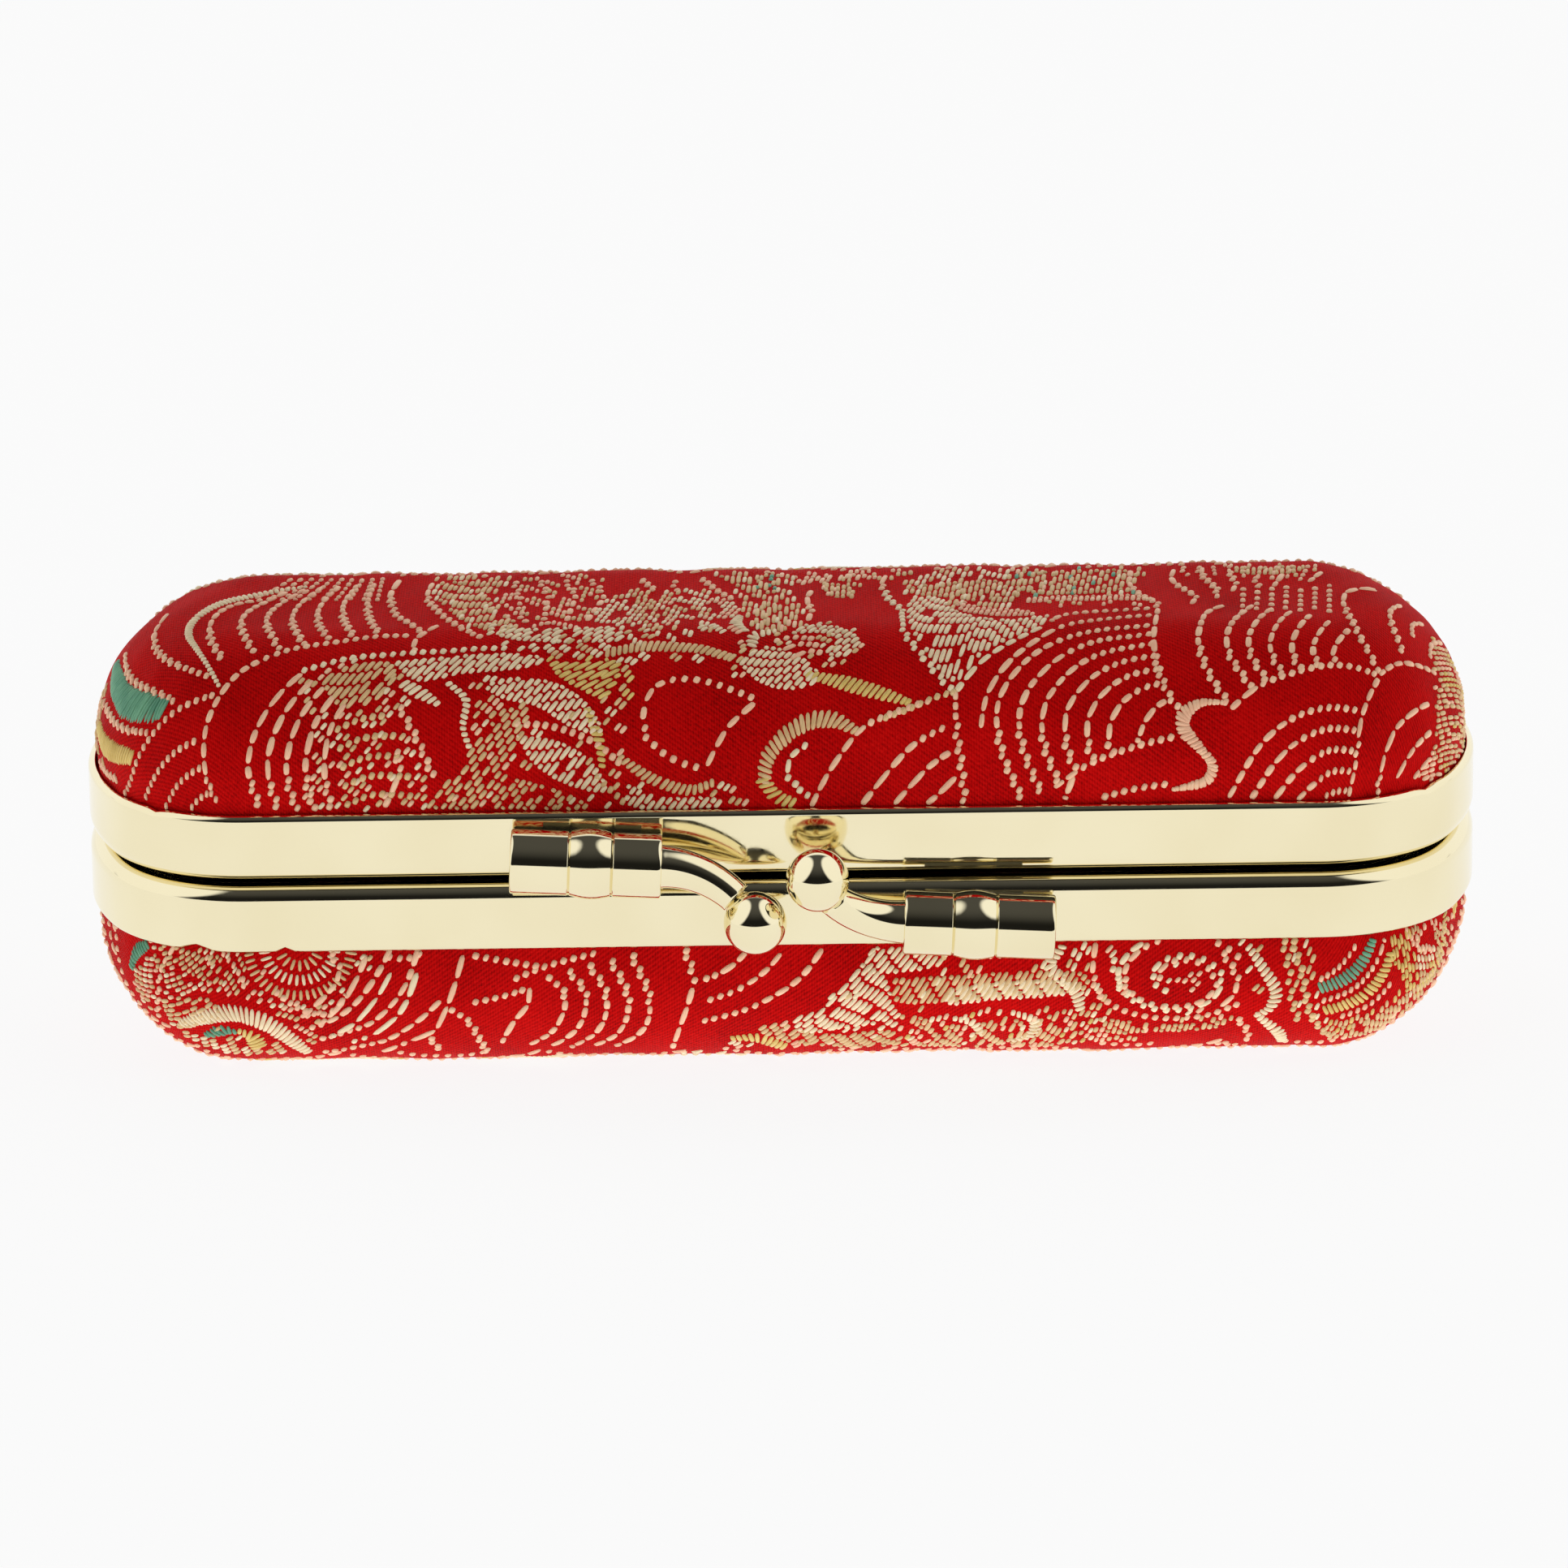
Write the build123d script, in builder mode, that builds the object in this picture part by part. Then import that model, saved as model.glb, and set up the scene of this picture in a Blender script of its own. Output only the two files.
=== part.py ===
# A small brocade case: two padded shells in polished metal bands, hinged along the back
# and closed on the front by two ball-tipped clasp arms that snap past each other.
# Millimetres. The origin is the middle of the flat underside, +Z is up, -Y is the front.
from build123d import *
from math import cos, radians, sin
import os

os.makedirs("parts", exist_ok=True)

# Case seen from above: straight front and back, round corners and gently bowed ends
case_length = 92.0
case_depth = 30.0
corner_radius = 10.1
end_half_angle = 23.0  # degrees, half the sweep of each bowed end

# Heights of one half, from the seam outward
seam_gap = 0.35
band_height = 4.5
shell_rise = 10.0  # how far the brocade rises beyond the band's edge
edge_rounding = 8.7  # rounding between the shell's side and its flat

# Metal band, a folded channel that grips the edges of all the layers
band_sheet = 0.5
band_proud = 0.6  # how far the band stands out beyond the brocade
seam_edge_round = 1.1
outer_edge_round = 0.42
inner_wall_height = 3.6

# Layers of one shell, from the outside inward
brocade_thickness = 0.45
padding_thickness = 0.6
core_thickness = 0.9
lining_thickness = 0.35
glue_gap = 0.03  # between neighbouring pieces of one half

# Mirror in the lid and the satin-covered board that carries it
board_thickness = 2.2
mirror_length = 64.0
mirror_width = 15.5
mirror_thickness = 1.1
mirror_corner = 2.0
mirror_bevel = 0.25

# Clasp, measured from the middle of the front at the seam
sleeve_mouth_x = 7.8  # near end of each sleeve, from the middle
sleeve_length = 9.8
sleeve_radius = 2.1
sleeve_tilt = 3.0  # degrees, each sleeve leans toward the seam at its mouth
sleeve_standoff = 3.2  # sleeve axis in front of the band's face
sleeve_height = 2.25  # middle of the sleeve above or below the seam
sleeve_bevel = 0.12
bead_middle = 4.6  # from the sleeve's mouth to the middle of its raised bead
bead_width = 2.6
bead_rise = 0.14
groove_width = 0.16
groove_depth = 0.12
arm_radius = 1.42
bend_radius = 1.32  # the rod beyond its sleeve
arm_fit = 0.02  # radial gap of the arm in its sleeve
arm_recess = 0.4  # the arm ends this far inside the sleeve's outer end
ball_radius = 2.05
upper_ball_x = -1.8
upper_ball_z = -1.45
upper_ball_standoff = 4.65  # ball centre in front of the band's face
lower_ball_x = 2.25
lower_ball_z = 1.7
lower_ball_standoff = 5.6
saddle_length = 6.4
saddle_height = 2.6

# Hinge at the back of the seam
barrel_length = 26.0
knuckle_count = 5
knuckle_radius = 1.15
knuckle_gap = 0.15  # end to end between neighbouring knuckles
knuckle_clearance = 0.15  # from a knuckle to the band and to the other leaf
leaf_sheet = 0.5
leaf_height = 3.9  # leaf's far edge, from the seam
pin_radius = 0.5
pin_fit = 0.04  # radial gap of the pin in its knuckles
pin_head_radius = 0.85
pin_head_length = 0.35
rivet_radius = 0.45
rivet_head_radius = 0.8
rivet_head_height = 0.3
rivet_pitch = 9.5
rivet_count = 3

# Lengths that follow from the values above
front_y = -case_depth / 2
back_y = case_depth / 2
corner_centre_y = case_depth / 2 - corner_radius
end_radius = corner_radius + corner_centre_y / sin(radians(end_half_angle))
end_centre_x = case_length / 2 - end_radius
corner_centre_x = end_centre_x + (end_radius - corner_radius) * cos(radians(end_half_angle))
seam_height = shell_rise + band_height + seam_gap / 2
case_top = 2 * seam_height
seam_plane = Plane.XY.offset(seam_height)
upper_band_start = seam_height + seam_gap / 2
layer_start = upper_band_start + band_sheet + glue_gap
padding_inset = band_proud + brocade_thickness + glue_gap
core_inset = padding_inset + padding_thickness + glue_gap
lining_inset = core_inset + core_thickness + glue_gap
lining_inside = lining_inset + lining_thickness
channel_width = lining_inside + glue_gap + band_sheet
axis_y = back_y + knuckle_clearance + knuckle_radius
knuckle_length = (barrel_length - (knuckle_count - 1) * knuckle_gap) / knuckle_count
leaf_root = knuckle_radius + knuckle_clearance  # leaf's near edge beside the other leaf's knuckles
rivet_height = (leaf_root + leaf_height) / 2
rivet_plane = Plane(origin=(0, back_y, seam_height + rivet_height), x_dir=(1, 0, 0), z_dir=(0, 1, 0))
rivet_places = GridLocations(rivet_pitch, 0, rivet_count, 1)


def finish(piece, name):
    """Label a finished piece and write its file."""
    piece.part.label = name
    export_step(piece.part, f"parts/{name}.step")


def outline(inset, mode=Mode.ADD):
    """Draw the case's outline, `inset` inside the bands' outer face, in the open sketch."""
    side_y = case_depth / 2 - inset
    corner = corner_radius - inset
    corner_sweep = 90 - end_half_angle
    with BuildLine() as border:
        Line((-corner_centre_x, -side_y), (corner_centre_x, -side_y))
        Line((-corner_centre_x, side_y), (corner_centre_x, side_y))
        near = CenterArc((corner_centre_x, -corner_centre_y), corner, -90, corner_sweep)
        end = CenterArc((end_centre_x, 0), end_radius - inset, -end_half_angle, 2 * end_half_angle)
        far = CenterArc((corner_centre_x, corner_centre_y), corner, end_half_angle, corner_sweep)
        mirror(objects=[near, end, far], about=Plane.YZ)
    make_face(border.edges(), mode=mode)


def dome(inset):
    """Solid cushion form of the upper half, `inset` inside the bands' outer face."""
    sunk = inset - band_proud
    with BuildPart() as form:
        with BuildSketch(Plane.XY.offset(layer_start)):
            outline(inset)
        extrude(amount=case_top - sunk - layer_start)
        fillet(form.faces().sort_by(Axis.Z)[-1].edges(), radius=edge_rounding - sunk)
    return form.part


def shell_layer(inset, thickness):
    """One layer of the upper shell: an even wall that is open toward the seam."""
    outside = dome(inset)
    inside = dome(inset + thickness)
    with BuildPart() as layer:
        add(outside)
        add(inside, mode=Mode.SUBTRACT)
    return layer


def lower_copy(piece):
    """The lower half's copy of a piece, mirrored through the seam."""
    with BuildPart() as copy:
        mirror(piece.part, about=seam_plane)
    return copy


# Bands: a channel with its web along the seam, an outer wall and a lower inner wall
with BuildPart() as upper_band:
    with BuildSketch(Plane.XY.offset(upper_band_start)):
        outline(0)
        outline(channel_width, mode=Mode.SUBTRACT)
    extrude(amount=band_height)
    with BuildSketch(Plane.XY.offset(upper_band_start + band_sheet)):
        outline(band_sheet)
        outline(channel_width - band_sheet, mode=Mode.SUBTRACT)
    extrude(amount=band_height, mode=Mode.SUBTRACT)
    with BuildSketch(Plane.XY.offset(upper_band_start + inner_wall_height)):
        outline(band_sheet)
    extrude(amount=band_height, mode=Mode.SUBTRACT)
    seam_face = upper_band.faces().sort_by(Axis.Z)[0]
    fillet(seam_face.outer_wire().edges(), radius=seam_edge_round)
    outer_rim = upper_band.faces().sort_by(Axis.Z)[-1]
    fillet(outer_rim.outer_wire().edges(), radius=outer_edge_round)
    with BuildSketch(rivet_plane):
        with rivet_places:
            Circle(rivet_radius)
    extrude(amount=-band_sheet, mode=Mode.SUBTRACT)
finish(upper_band, "upper_band")
lower_band = lower_copy(upper_band)
finish(lower_band, "lower_band")

# Shells: brocade over thin padding over a stiff core, with a lining inside
upper_brocade = shell_layer(band_proud, brocade_thickness)
finish(upper_brocade, "upper_brocade")
lower_brocade = lower_copy(upper_brocade)
finish(lower_brocade, "lower_brocade")

upper_padding = shell_layer(padding_inset, padding_thickness)
finish(upper_padding, "upper_padding")
lower_padding = lower_copy(upper_padding)
finish(lower_padding, "lower_padding")

upper_core = shell_layer(core_inset, core_thickness)
finish(upper_core, "upper_core")
lower_core = lower_copy(upper_core)
finish(lower_core, "lower_core")

upper_lining = shell_layer(lining_inset, lining_thickness)
finish(upper_lining, "upper_lining")
lower_lining = lower_copy(upper_lining)
finish(lower_lining, "lower_lining")

# Mirror board: fills the hollow of the lid's lining down to a flat face
lid_hollow = dome(lining_inside + glue_gap)
board_top = lid_hollow.bounding_box().max.Z
board_face = board_top - board_thickness
with BuildPart() as mirror_board:
    add(lid_hollow)
    split(bisect_by=Plane.XY.offset(board_face), keep=Keep.TOP)
finish(mirror_board, "mirror_board")

# Mirror: a bevelled plate on the board's face
with BuildPart() as lid_mirror:
    with BuildSketch(Plane.XY.offset(board_face - mirror_thickness)):
        RectangleRounded(mirror_length, mirror_width, mirror_corner)
    extrude(amount=mirror_thickness)
    chamfer(lid_mirror.faces().sort_by(Axis.Z)[0].edges(), length=mirror_bevel)
finish(lid_mirror, "lid_mirror")


def clasp_axis(side):
    """Start point and direction of a sleeve's axis: side is -1 left and up, +1 right and down."""
    middle = Vector(
        side * (sleeve_mouth_x + sleeve_length / 2),
        front_y - sleeve_standoff,
        seam_height - side * sleeve_height,
    )
    toward_mouth = Vector(-side * cos(radians(sleeve_tilt)), 0, side * sin(radians(sleeve_tilt)))
    mouth = middle + toward_mouth * (sleeve_length / 2)
    return mouth, toward_mouth


def clasp_sleeve(side):
    """Crimped tube with a low bead between two fine grooves."""
    mouth, toward_mouth = clasp_axis(side)
    bead_start = bead_middle - bead_width / 2
    bead_end = bead_middle + bead_width / 2
    groove_floor = sleeve_radius - groove_depth
    bore = arm_radius + arm_fit
    with BuildPart() as sleeve:
        with BuildSketch(Plane(origin=mouth, x_dir=-toward_mouth, z_dir=(0, -1, 0))):
            with BuildLine():
                Polyline(
                    (bead_end, sleeve_radius),
                    (bead_end, groove_floor),
                    (bead_end + groove_width, groove_floor),
                    (bead_end + groove_width, sleeve_radius),
                    (sleeve_length - sleeve_bevel, sleeve_radius),
                    (sleeve_length, sleeve_radius - sleeve_bevel),
                    (sleeve_length, bore),
                    (0, bore),
                    (0, sleeve_radius - sleeve_bevel),
                    (sleeve_bevel, sleeve_radius),
                    (bead_start - groove_width, sleeve_radius),
                    (bead_start - groove_width, groove_floor),
                    (bead_start, groove_floor),
                    (bead_start, sleeve_radius),
                )
                ThreePointArc(
                    (bead_start, sleeve_radius),
                    (bead_middle, sleeve_radius + bead_rise),
                    (bead_end, sleeve_radius),
                )
            make_face()
        revolve(axis=Axis(mouth, toward_mouth))
    return sleeve


def clasp_arm(side, ball_x, ball_z, ball_standoff):
    """Rod that leaves its sleeve, bends across the seam and ends in a ball."""
    mouth, toward_mouth = clasp_axis(side)
    inner_end = mouth - toward_mouth * (sleeve_length - arm_recess)
    ball = Vector(ball_x, front_y - ball_standoff, seam_height + ball_z)
    with BuildPart() as arm:
        with BuildLine():
            bend = TangentArc(mouth, ball, tangent=toward_mouth)
        with BuildSketch(Plane(origin=mouth, z_dir=toward_mouth)):
            Circle(bend_radius)
        sweep(path=bend)
        with BuildSketch(Plane(origin=inner_end, z_dir=toward_mouth)):
            Circle(arm_radius)
        extrude(amount=(mouth - inner_end).length)
        with Locations(Plane(origin=ball, z_dir=bend % 1)):
            Sphere(ball_radius)
    return arm


def clasp_saddle(side):
    """Block between the band's face and the sleeve, hollowed to cradle the sleeve."""
    mouth, toward_mouth = clasp_axis(side)
    bead = mouth - toward_mouth * bead_middle
    foot = Plane(origin=(bead.X, front_y, bead.Z), x_dir=-toward_mouth, z_dir=(0, -1, 0))
    cradle = sleeve_radius + bead_rise + glue_gap
    with BuildPart() as saddle:
        with BuildSketch(foot):
            Rectangle(saddle_length, saddle_height)
        extrude(amount=sleeve_standoff - sleeve_radius / 2)
        with BuildSketch(Plane(origin=mouth, z_dir=-toward_mouth)):
            Circle(cradle)
        extrude(amount=sleeve_length, mode=Mode.SUBTRACT)
    return saddle


# Clasp: the left half belongs to the upper band, the right half to the lower band
upper_clasp_saddle = clasp_saddle(-1)
finish(upper_clasp_saddle, "upper_clasp_saddle")
upper_clasp_sleeve = clasp_sleeve(-1)
finish(upper_clasp_sleeve, "upper_clasp_sleeve")
upper_clasp_arm = clasp_arm(-1, upper_ball_x, upper_ball_z, upper_ball_standoff)
finish(upper_clasp_arm, "upper_clasp_arm")
lower_clasp_saddle = clasp_saddle(1)
finish(lower_clasp_saddle, "lower_clasp_saddle")
lower_clasp_sleeve = clasp_sleeve(1)
finish(lower_clasp_sleeve, "lower_clasp_sleeve")
lower_clasp_arm = clasp_arm(1, lower_ball_x, lower_ball_z, lower_ball_standoff)
finish(lower_clasp_arm, "lower_clasp_arm")


def hinge_leaf(first_knuckle):
    """Upper leaf of the hinge, which owns every second knuckle from `first_knuckle` on."""
    knuckle_pitch = knuckle_length + knuckle_gap
    starts = [
        -barrel_length / 2 + knuckle_pitch * number
        for number in range(first_knuckle, knuckle_count, 2)
    ]
    with BuildPart() as leaf:
        with BuildSketch(Plane(origin=(0, back_y, seam_height), x_dir=(1, 0, 0), z_dir=(0, -1, 0))):
            with Locations((0, (leaf_root + leaf_height) / 2)):
                Rectangle(barrel_length, leaf_height - leaf_root)
            for start in starts:
                with Locations((start + knuckle_length / 2, leaf_root / 2)):
                    Rectangle(knuckle_length, leaf_root)
        extrude(amount=-leaf_sheet)
        for start in starts:
            with BuildSketch(Plane(origin=(start, axis_y, seam_height), z_dir=(1, 0, 0), x_dir=(0, 1, 0))):
                with Locations(((back_y - axis_y) / 2, leaf_root / 2)):
                    Rectangle(axis_y - back_y, leaf_root)
                Circle(knuckle_radius)
            extrude(amount=knuckle_length)
        with BuildSketch(Plane.YZ.offset(-barrel_length)):
            with Locations((axis_y, seam_height)):
                Circle(pin_radius + pin_fit)
        extrude(amount=2 * barrel_length, mode=Mode.SUBTRACT)
        with BuildSketch(rivet_plane):
            with rivet_places:
                Circle(rivet_radius)
        extrude(amount=leaf_sheet, mode=Mode.SUBTRACT)
    return leaf


# Hinge: the lower leaf owns the end knuckles, the upper leaf those between them
upper_hinge_leaf = hinge_leaf(1)
finish(upper_hinge_leaf, "upper_hinge_leaf")
lower_hinge_leaf = lower_copy(hinge_leaf(0))
finish(lower_hinge_leaf, "lower_hinge_leaf")

# Pin: runs through all knuckles and is headed at both ends
pin_half_length = barrel_length / 2 + knuckle_gap
with BuildPart() as hinge_pin:
    for side in (-1, 1):
        with BuildSketch(Plane.YZ):
            with Locations((axis_y, seam_height)):
                Circle(pin_radius)
        extrude(amount=side * pin_half_length)
        with BuildSketch(Plane.YZ.offset(side * pin_half_length)):
            with Locations((axis_y, seam_height)):
                Circle(pin_head_radius)
        extrude(amount=side * pin_head_length)
    head_ends = hinge_pin.faces().sort_by(Axis.X)
    fillet([head_ends[0].edges(), head_ends[-1].edges()], radius=pin_head_length / 2)
finish(hinge_pin, "hinge_pin")

# Rivets: low round heads on the leaf, shanks through the leaf and the band's wall
with BuildPart() as upper_hinge_rivets:
    with BuildSketch(rivet_plane.offset(-band_sheet)):
        with rivet_places:
            Circle(rivet_radius)
    extrude(amount=band_sheet + leaf_sheet)
    with BuildSketch(rivet_plane.offset(leaf_sheet)):
        with rivet_places:
            Circle(rivet_head_radius)
    extrude(amount=rivet_head_height)
    fillet(upper_hinge_rivets.faces().sort_by(Axis.Y)[-rivet_count:].edges(), radius=rivet_head_height / 2)
finish(upper_hinge_rivets, "upper_hinge_rivets")
lower_hinge_rivets = lower_copy(upper_hinge_rivets)
finish(lower_hinge_rivets, "lower_hinge_rivets")
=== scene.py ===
"""Looks of the small brocade case: woven covers with raised stitches, bands, clasp, lining and mirror."""
import math
import re
from itertools import product

import bmesh
import bpy
import numpy as np
from mathutils import Euler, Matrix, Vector


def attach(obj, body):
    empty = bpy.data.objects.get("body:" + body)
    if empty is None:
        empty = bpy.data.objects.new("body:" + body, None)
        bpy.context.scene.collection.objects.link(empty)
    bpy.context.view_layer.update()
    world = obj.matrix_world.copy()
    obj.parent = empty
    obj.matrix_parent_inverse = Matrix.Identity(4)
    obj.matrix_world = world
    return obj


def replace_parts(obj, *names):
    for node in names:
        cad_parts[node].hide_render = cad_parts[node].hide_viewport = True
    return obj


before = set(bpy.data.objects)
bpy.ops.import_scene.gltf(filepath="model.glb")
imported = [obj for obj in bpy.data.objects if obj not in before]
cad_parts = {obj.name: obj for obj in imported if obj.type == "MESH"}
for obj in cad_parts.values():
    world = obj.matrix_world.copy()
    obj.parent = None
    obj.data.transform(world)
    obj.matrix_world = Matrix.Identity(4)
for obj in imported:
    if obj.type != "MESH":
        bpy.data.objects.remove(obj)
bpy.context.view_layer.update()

rng = np.random.default_rng(7)  # all draws come from it in a fixed order, so each run gives the same stitches

# Sizes in millimetres, as in the CAD source; heights count from the seam
MM = 0.001
CASE_LENGTH, CASE_DEPTH = 92.0, 30.0
CORNER_RADIUS, END_HALF_ANGLE = 10.1, math.radians(23)
SEAM_HEIGHT = 14.675
SEAM_GAP, BAND_HEIGHT, SHELL_RISE = 0.35, 4.5, 10.0
BAND_PROUD, BAND_SHEET, EDGE_ROUNDING = 0.6, 0.5, 8.7
INNER_WALL_HEIGHT = 3.6
BROCADE, PADDING, CORE, LINING, GLUE = 0.45, 0.6, 0.9, 0.35, 0.03
COVER_SLACK = 0.02  # the modelled cover stays this far off the wadding
BOARD_THICKNESS, MIRROR_LENGTH, MIRROR_WIDTH = 2.2, 64.0, 15.5
SLEEVE_LENGTH, SLEEVE_RADIUS, SLEEVE_TILT = 9.8, 2.1, math.radians(3)
SLEEVE_STANDOFF, SLEEVE_HEIGHT, SLEEVE_MOUTH = 3.2, 2.25, 7.8
ARM_RADIUS, ARM_TIP_RADIUS, BALL_RADIUS = 1.42, 1.0, 2.05

# Lengths that follow from them
HALF_LENGTH, HALF_DEPTH = CASE_LENGTH / 2, CASE_DEPTH / 2
FRONT_Y = -HALF_DEPTH
CORNER_Y = HALF_DEPTH - CORNER_RADIUS
END_RADIUS = CORNER_RADIUS + CORNER_Y / math.sin(END_HALF_ANGLE)
END_X = HALF_LENGTH - END_RADIUS
CORNER_X = END_X + (END_RADIUS - CORNER_RADIUS) * math.cos(END_HALF_ANGLE)
BAND_FOOT = SEAM_GAP / 2
BAND_TOP = BAND_FOOT + BAND_HEIGHT
SHELL_TOP = BAND_TOP + SHELL_RISE
ROLL_INSET = BAND_PROUD + EDGE_ROUNDING  # where the flat of the cushion starts
ROLL_LENGTH = EDGE_ROUNDING * math.pi / 2
LAYER_FOOT = BAND_FOOT + BAND_SHEET + GLUE
CLOTH_EDGE = ROLL_LENGTH + SHELL_TOP - EDGE_ROUNDING - BAND_TOP  # cloth from the flat to the band
CLOTH_END = ROLL_LENGTH + SHELL_TOP - EDGE_ROUNDING - LAYER_FOOT  # and to its hidden cut edge
PADDING_DROP = BROCADE + GLUE
LINING_DROP = PADDING_DROP + PADDING + CORE + 2 * GLUE
LINING_FACE = LINING_DROP + LINING

LID, BASE = 1, -1  # the two halves, and the side of the seam on which they lie
BODY = {LID: "lid", BASE: "base"}
PREFIX = {LID: "upper", BASE: "lower"}
BALLS = {LID: (-1.8, 4.65, -1.45), BASE: (2.25, 5.6, 1.7)}  # across, in front of the band, above the seam
# Small pleats where the band's rim was pressed down over the cloth: place, half width and depth
RIM_DENTS = {LID: [(-40.9, 0.35, 0.22), (42.3, 0.4, 0.24)], BASE: [(-38.4, 0.75, 0.4), (-32.5, 0.25, 0.3)]}

# Threads: name, dark tone and light tone
THREADS = {
    "rose": ((238, 178, 144), (250, 208, 170)),
    "cream": ((232, 208, 168), (248, 230, 192)),
    "beige": ((208, 170, 116), (232, 198, 146)),
    "gold": ((208, 176, 90), (232, 204, 124)),
    "teal": ((84, 146, 116), (116, 176, 138)),
}
THREAD_NAMES = list(THREADS)

# Stitches: turns in degrees, sizes in millimetres
FLOAT_TURN = 62  # the direction in which the longest floats run
FLOAT_SPREAD, FLOAT_FADE = 36, 16  # how far off it floats end, and over what turn they grow
STEEP = 0.75  # sine of a line's slope above which its beads are shorter and stand in a zigzag
BEAD_LEAN = (0.12, 0.25)  # half of a bead, in x and y
BEAD_ZIGZAG = 0.1  # how far to the left and right those beads stand in turn
ROW_HEIGHT, SATIN_HEIGHT, WEAVE_HEIGHT, SPOKE_HEIGHT = 0.17, 0.16, 0.15, 0.11  # stitches above the cloth
SATIN_PART = 1.5  # a ribbon two or three times this wide takes two or three stitches end to end
SHORTEST_SATIN = 0.22
OPEN_CELL = 0.26  # a square of cloth that holds a stitch takes no other from a weave
FAN_SQUASH = 0.95  # height of a wave scale over its width

# Light: the room's white, the floor, and a dark card over the front that the metal mirrors
WORLD_LEVEL = 0.72
FLOOR_SIZE = 3000.0
FLOOR_WHITE = 0.9  # how far the floor shows as plain white
FLOOR_BOUNCE = 1.6  # and how strongly it lights what faces it
CARD_HALF_WIDTH, CARD_NARROWING, CARD_SOFTNESS = 0.88, 0.68, 0.06  # wide below and narrow above
CARD_SHADE, CARD_SHADE_RISE = 0.012, 0.06  # its brightness below, and how much more it has above
LAMPS = [  # name, place, aim, width and watts
    ("top_lamp", (-60, 220, 680), (0, 0, 10), 600, 0.95),
    ("front_lamp", (60, -620, 60), (0, 0, 12), 420, 0.25),
    ("right_lamp", (640, -60, 240), (20, 0, 12), 420, 0.4),
]

# Camera: the view fitted to the photograph
PHOTO_PIXELS, PIXELS_PER_MM = 1932, 18.49
VIEW_ELEVATION, VIEW_ROLL, VIEW_DISTANCE = math.radians(17.6), math.radians(-0.78), 600.0
VIEW_SHIFT = (3, 31)  # pixels
SENSOR = 36.0


class Nodes:
    """A node tree, with short calls for the nodes that this scene needs."""

    def __init__(self, owner):
        owner.use_nodes = True
        self.owner = owner
        self.tree = owner.node_tree
        self.shader = self.tree.nodes.get("Principled BSDF")

    def add(self, kind, **settings):
        node = self.tree.nodes.new(kind)
        for key, value in settings.items():
            setattr(node, key, value)
        return node

    def put(self, value, socket):
        """Links an output to a socket, or sets the socket to a plain value."""
        if isinstance(value, bpy.types.NodeSocket):
            self.tree.links.new(value, socket)
        else:
            socket.default_value = value

    def math(self, operation, a, b=0.0):
        node = self.add("ShaderNodeMath", operation=operation)
        self.put(a, node.inputs[0])
        self.put(b, node.inputs[1])
        return node.outputs[0]

    def plus(self, a, b):
        return self.math("ADD", a, b)

    def times(self, a, b):
        return self.math("MULTIPLY", a, b)

    def less(self, a, b):
        return self.math("SUBTRACT", a, b)

    def most(self, a, b):
        return self.math("MAXIMUM", a, b)

    def wave(self, value, length):
        """Sine of a value, with the given wave length."""
        return self.math("SINE", self.times(value, 2 * math.pi / length))

    def split(self, vector):
        node = self.add("ShaderNodeSeparateXYZ")
        self.put(vector, node.inputs[0])
        return node.outputs

    def place(self):
        """The point in the object's own space, in metres."""
        return self.add("ShaderNodeTexCoord").outputs["Object"]

    def map(self, name):
        """A map of the mesh: its vector and its two values."""
        vector = self.add("ShaderNodeUVMap", uv_map=name).outputs[0]
        return vector, *self.split(vector)[:2]

    def noise(self, vector, scale, detail=3.0, roughness=0.5):
        node = self.add("ShaderNodeTexNoise")
        self.put(vector, node.inputs["Vector"])
        for key, value in (("Scale", scale), ("Detail", detail), ("Roughness", roughness)):
            node.inputs[key].default_value = value
        return node.outputs[0]

    def ramp(self, value, *stops):
        """Maps 0..1 through (position, colour) stops."""
        node = self.add("ShaderNodeValToRGB")
        self.put(value, node.inputs[0])
        ramp = node.color_ramp
        while len(ramp.elements) < len(stops):
            ramp.elements.new(0.5)
        for element, (position, colour) in zip(ramp.elements, stops):
            element.position = position
            element.color = (*colour, 1)
        return node.outputs[0]

    def range(self, value, low, high, new_low=0.0, new_high=1.0, **settings):
        node = self.add("ShaderNodeMapRange", **settings)
        for socket, v in zip(node.inputs, (value, low, high, new_low, new_high)):
            self.put(v, socket)
        return node.outputs[0]

    def step(self, value, low, high):
        """From 0 to 1 between two values, with soft ends."""
        return self.range(value, low, high, interpolation_type="SMOOTHSTEP")

    def mix(self, factor, a, b):
        node = self.add("ShaderNodeMix", data_type="RGBA")
        for value, socket in ((factor, node.inputs[0]), (a, node.inputs[6]), (b, node.inputs[7])):
            self.put(value, socket)
        return node.outputs[2]

    def bump(self, height, distance, strength):
        node = self.add("ShaderNodeBump")
        node.inputs["Strength"].default_value = strength
        node.inputs["Distance"].default_value = distance
        self.put(height, node.inputs["Height"])
        self.put(node.outputs[0], self.shader.inputs["Normal"])

    def set(self, **values):
        """Sets the shader's sockets by name, spaces written as underscores."""
        for key, value in values.items():
            self.put(value, self.shader.inputs[key.replace("_", " ")])
        return self.owner


def new_material(name):
    return Nodes(bpy.data.materials.new(name))


def rgb(*values):
    """A colour given in the usual 0 to 255 steps, as the linear values that the nodes take."""
    return tuple(v / 3294.6 if v <= 10 else ((v / 255 + 0.055) / 1.055) ** 2.4 for v in values)


def rgba(*values):
    return (*rgb(*values), 1.0)


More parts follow.
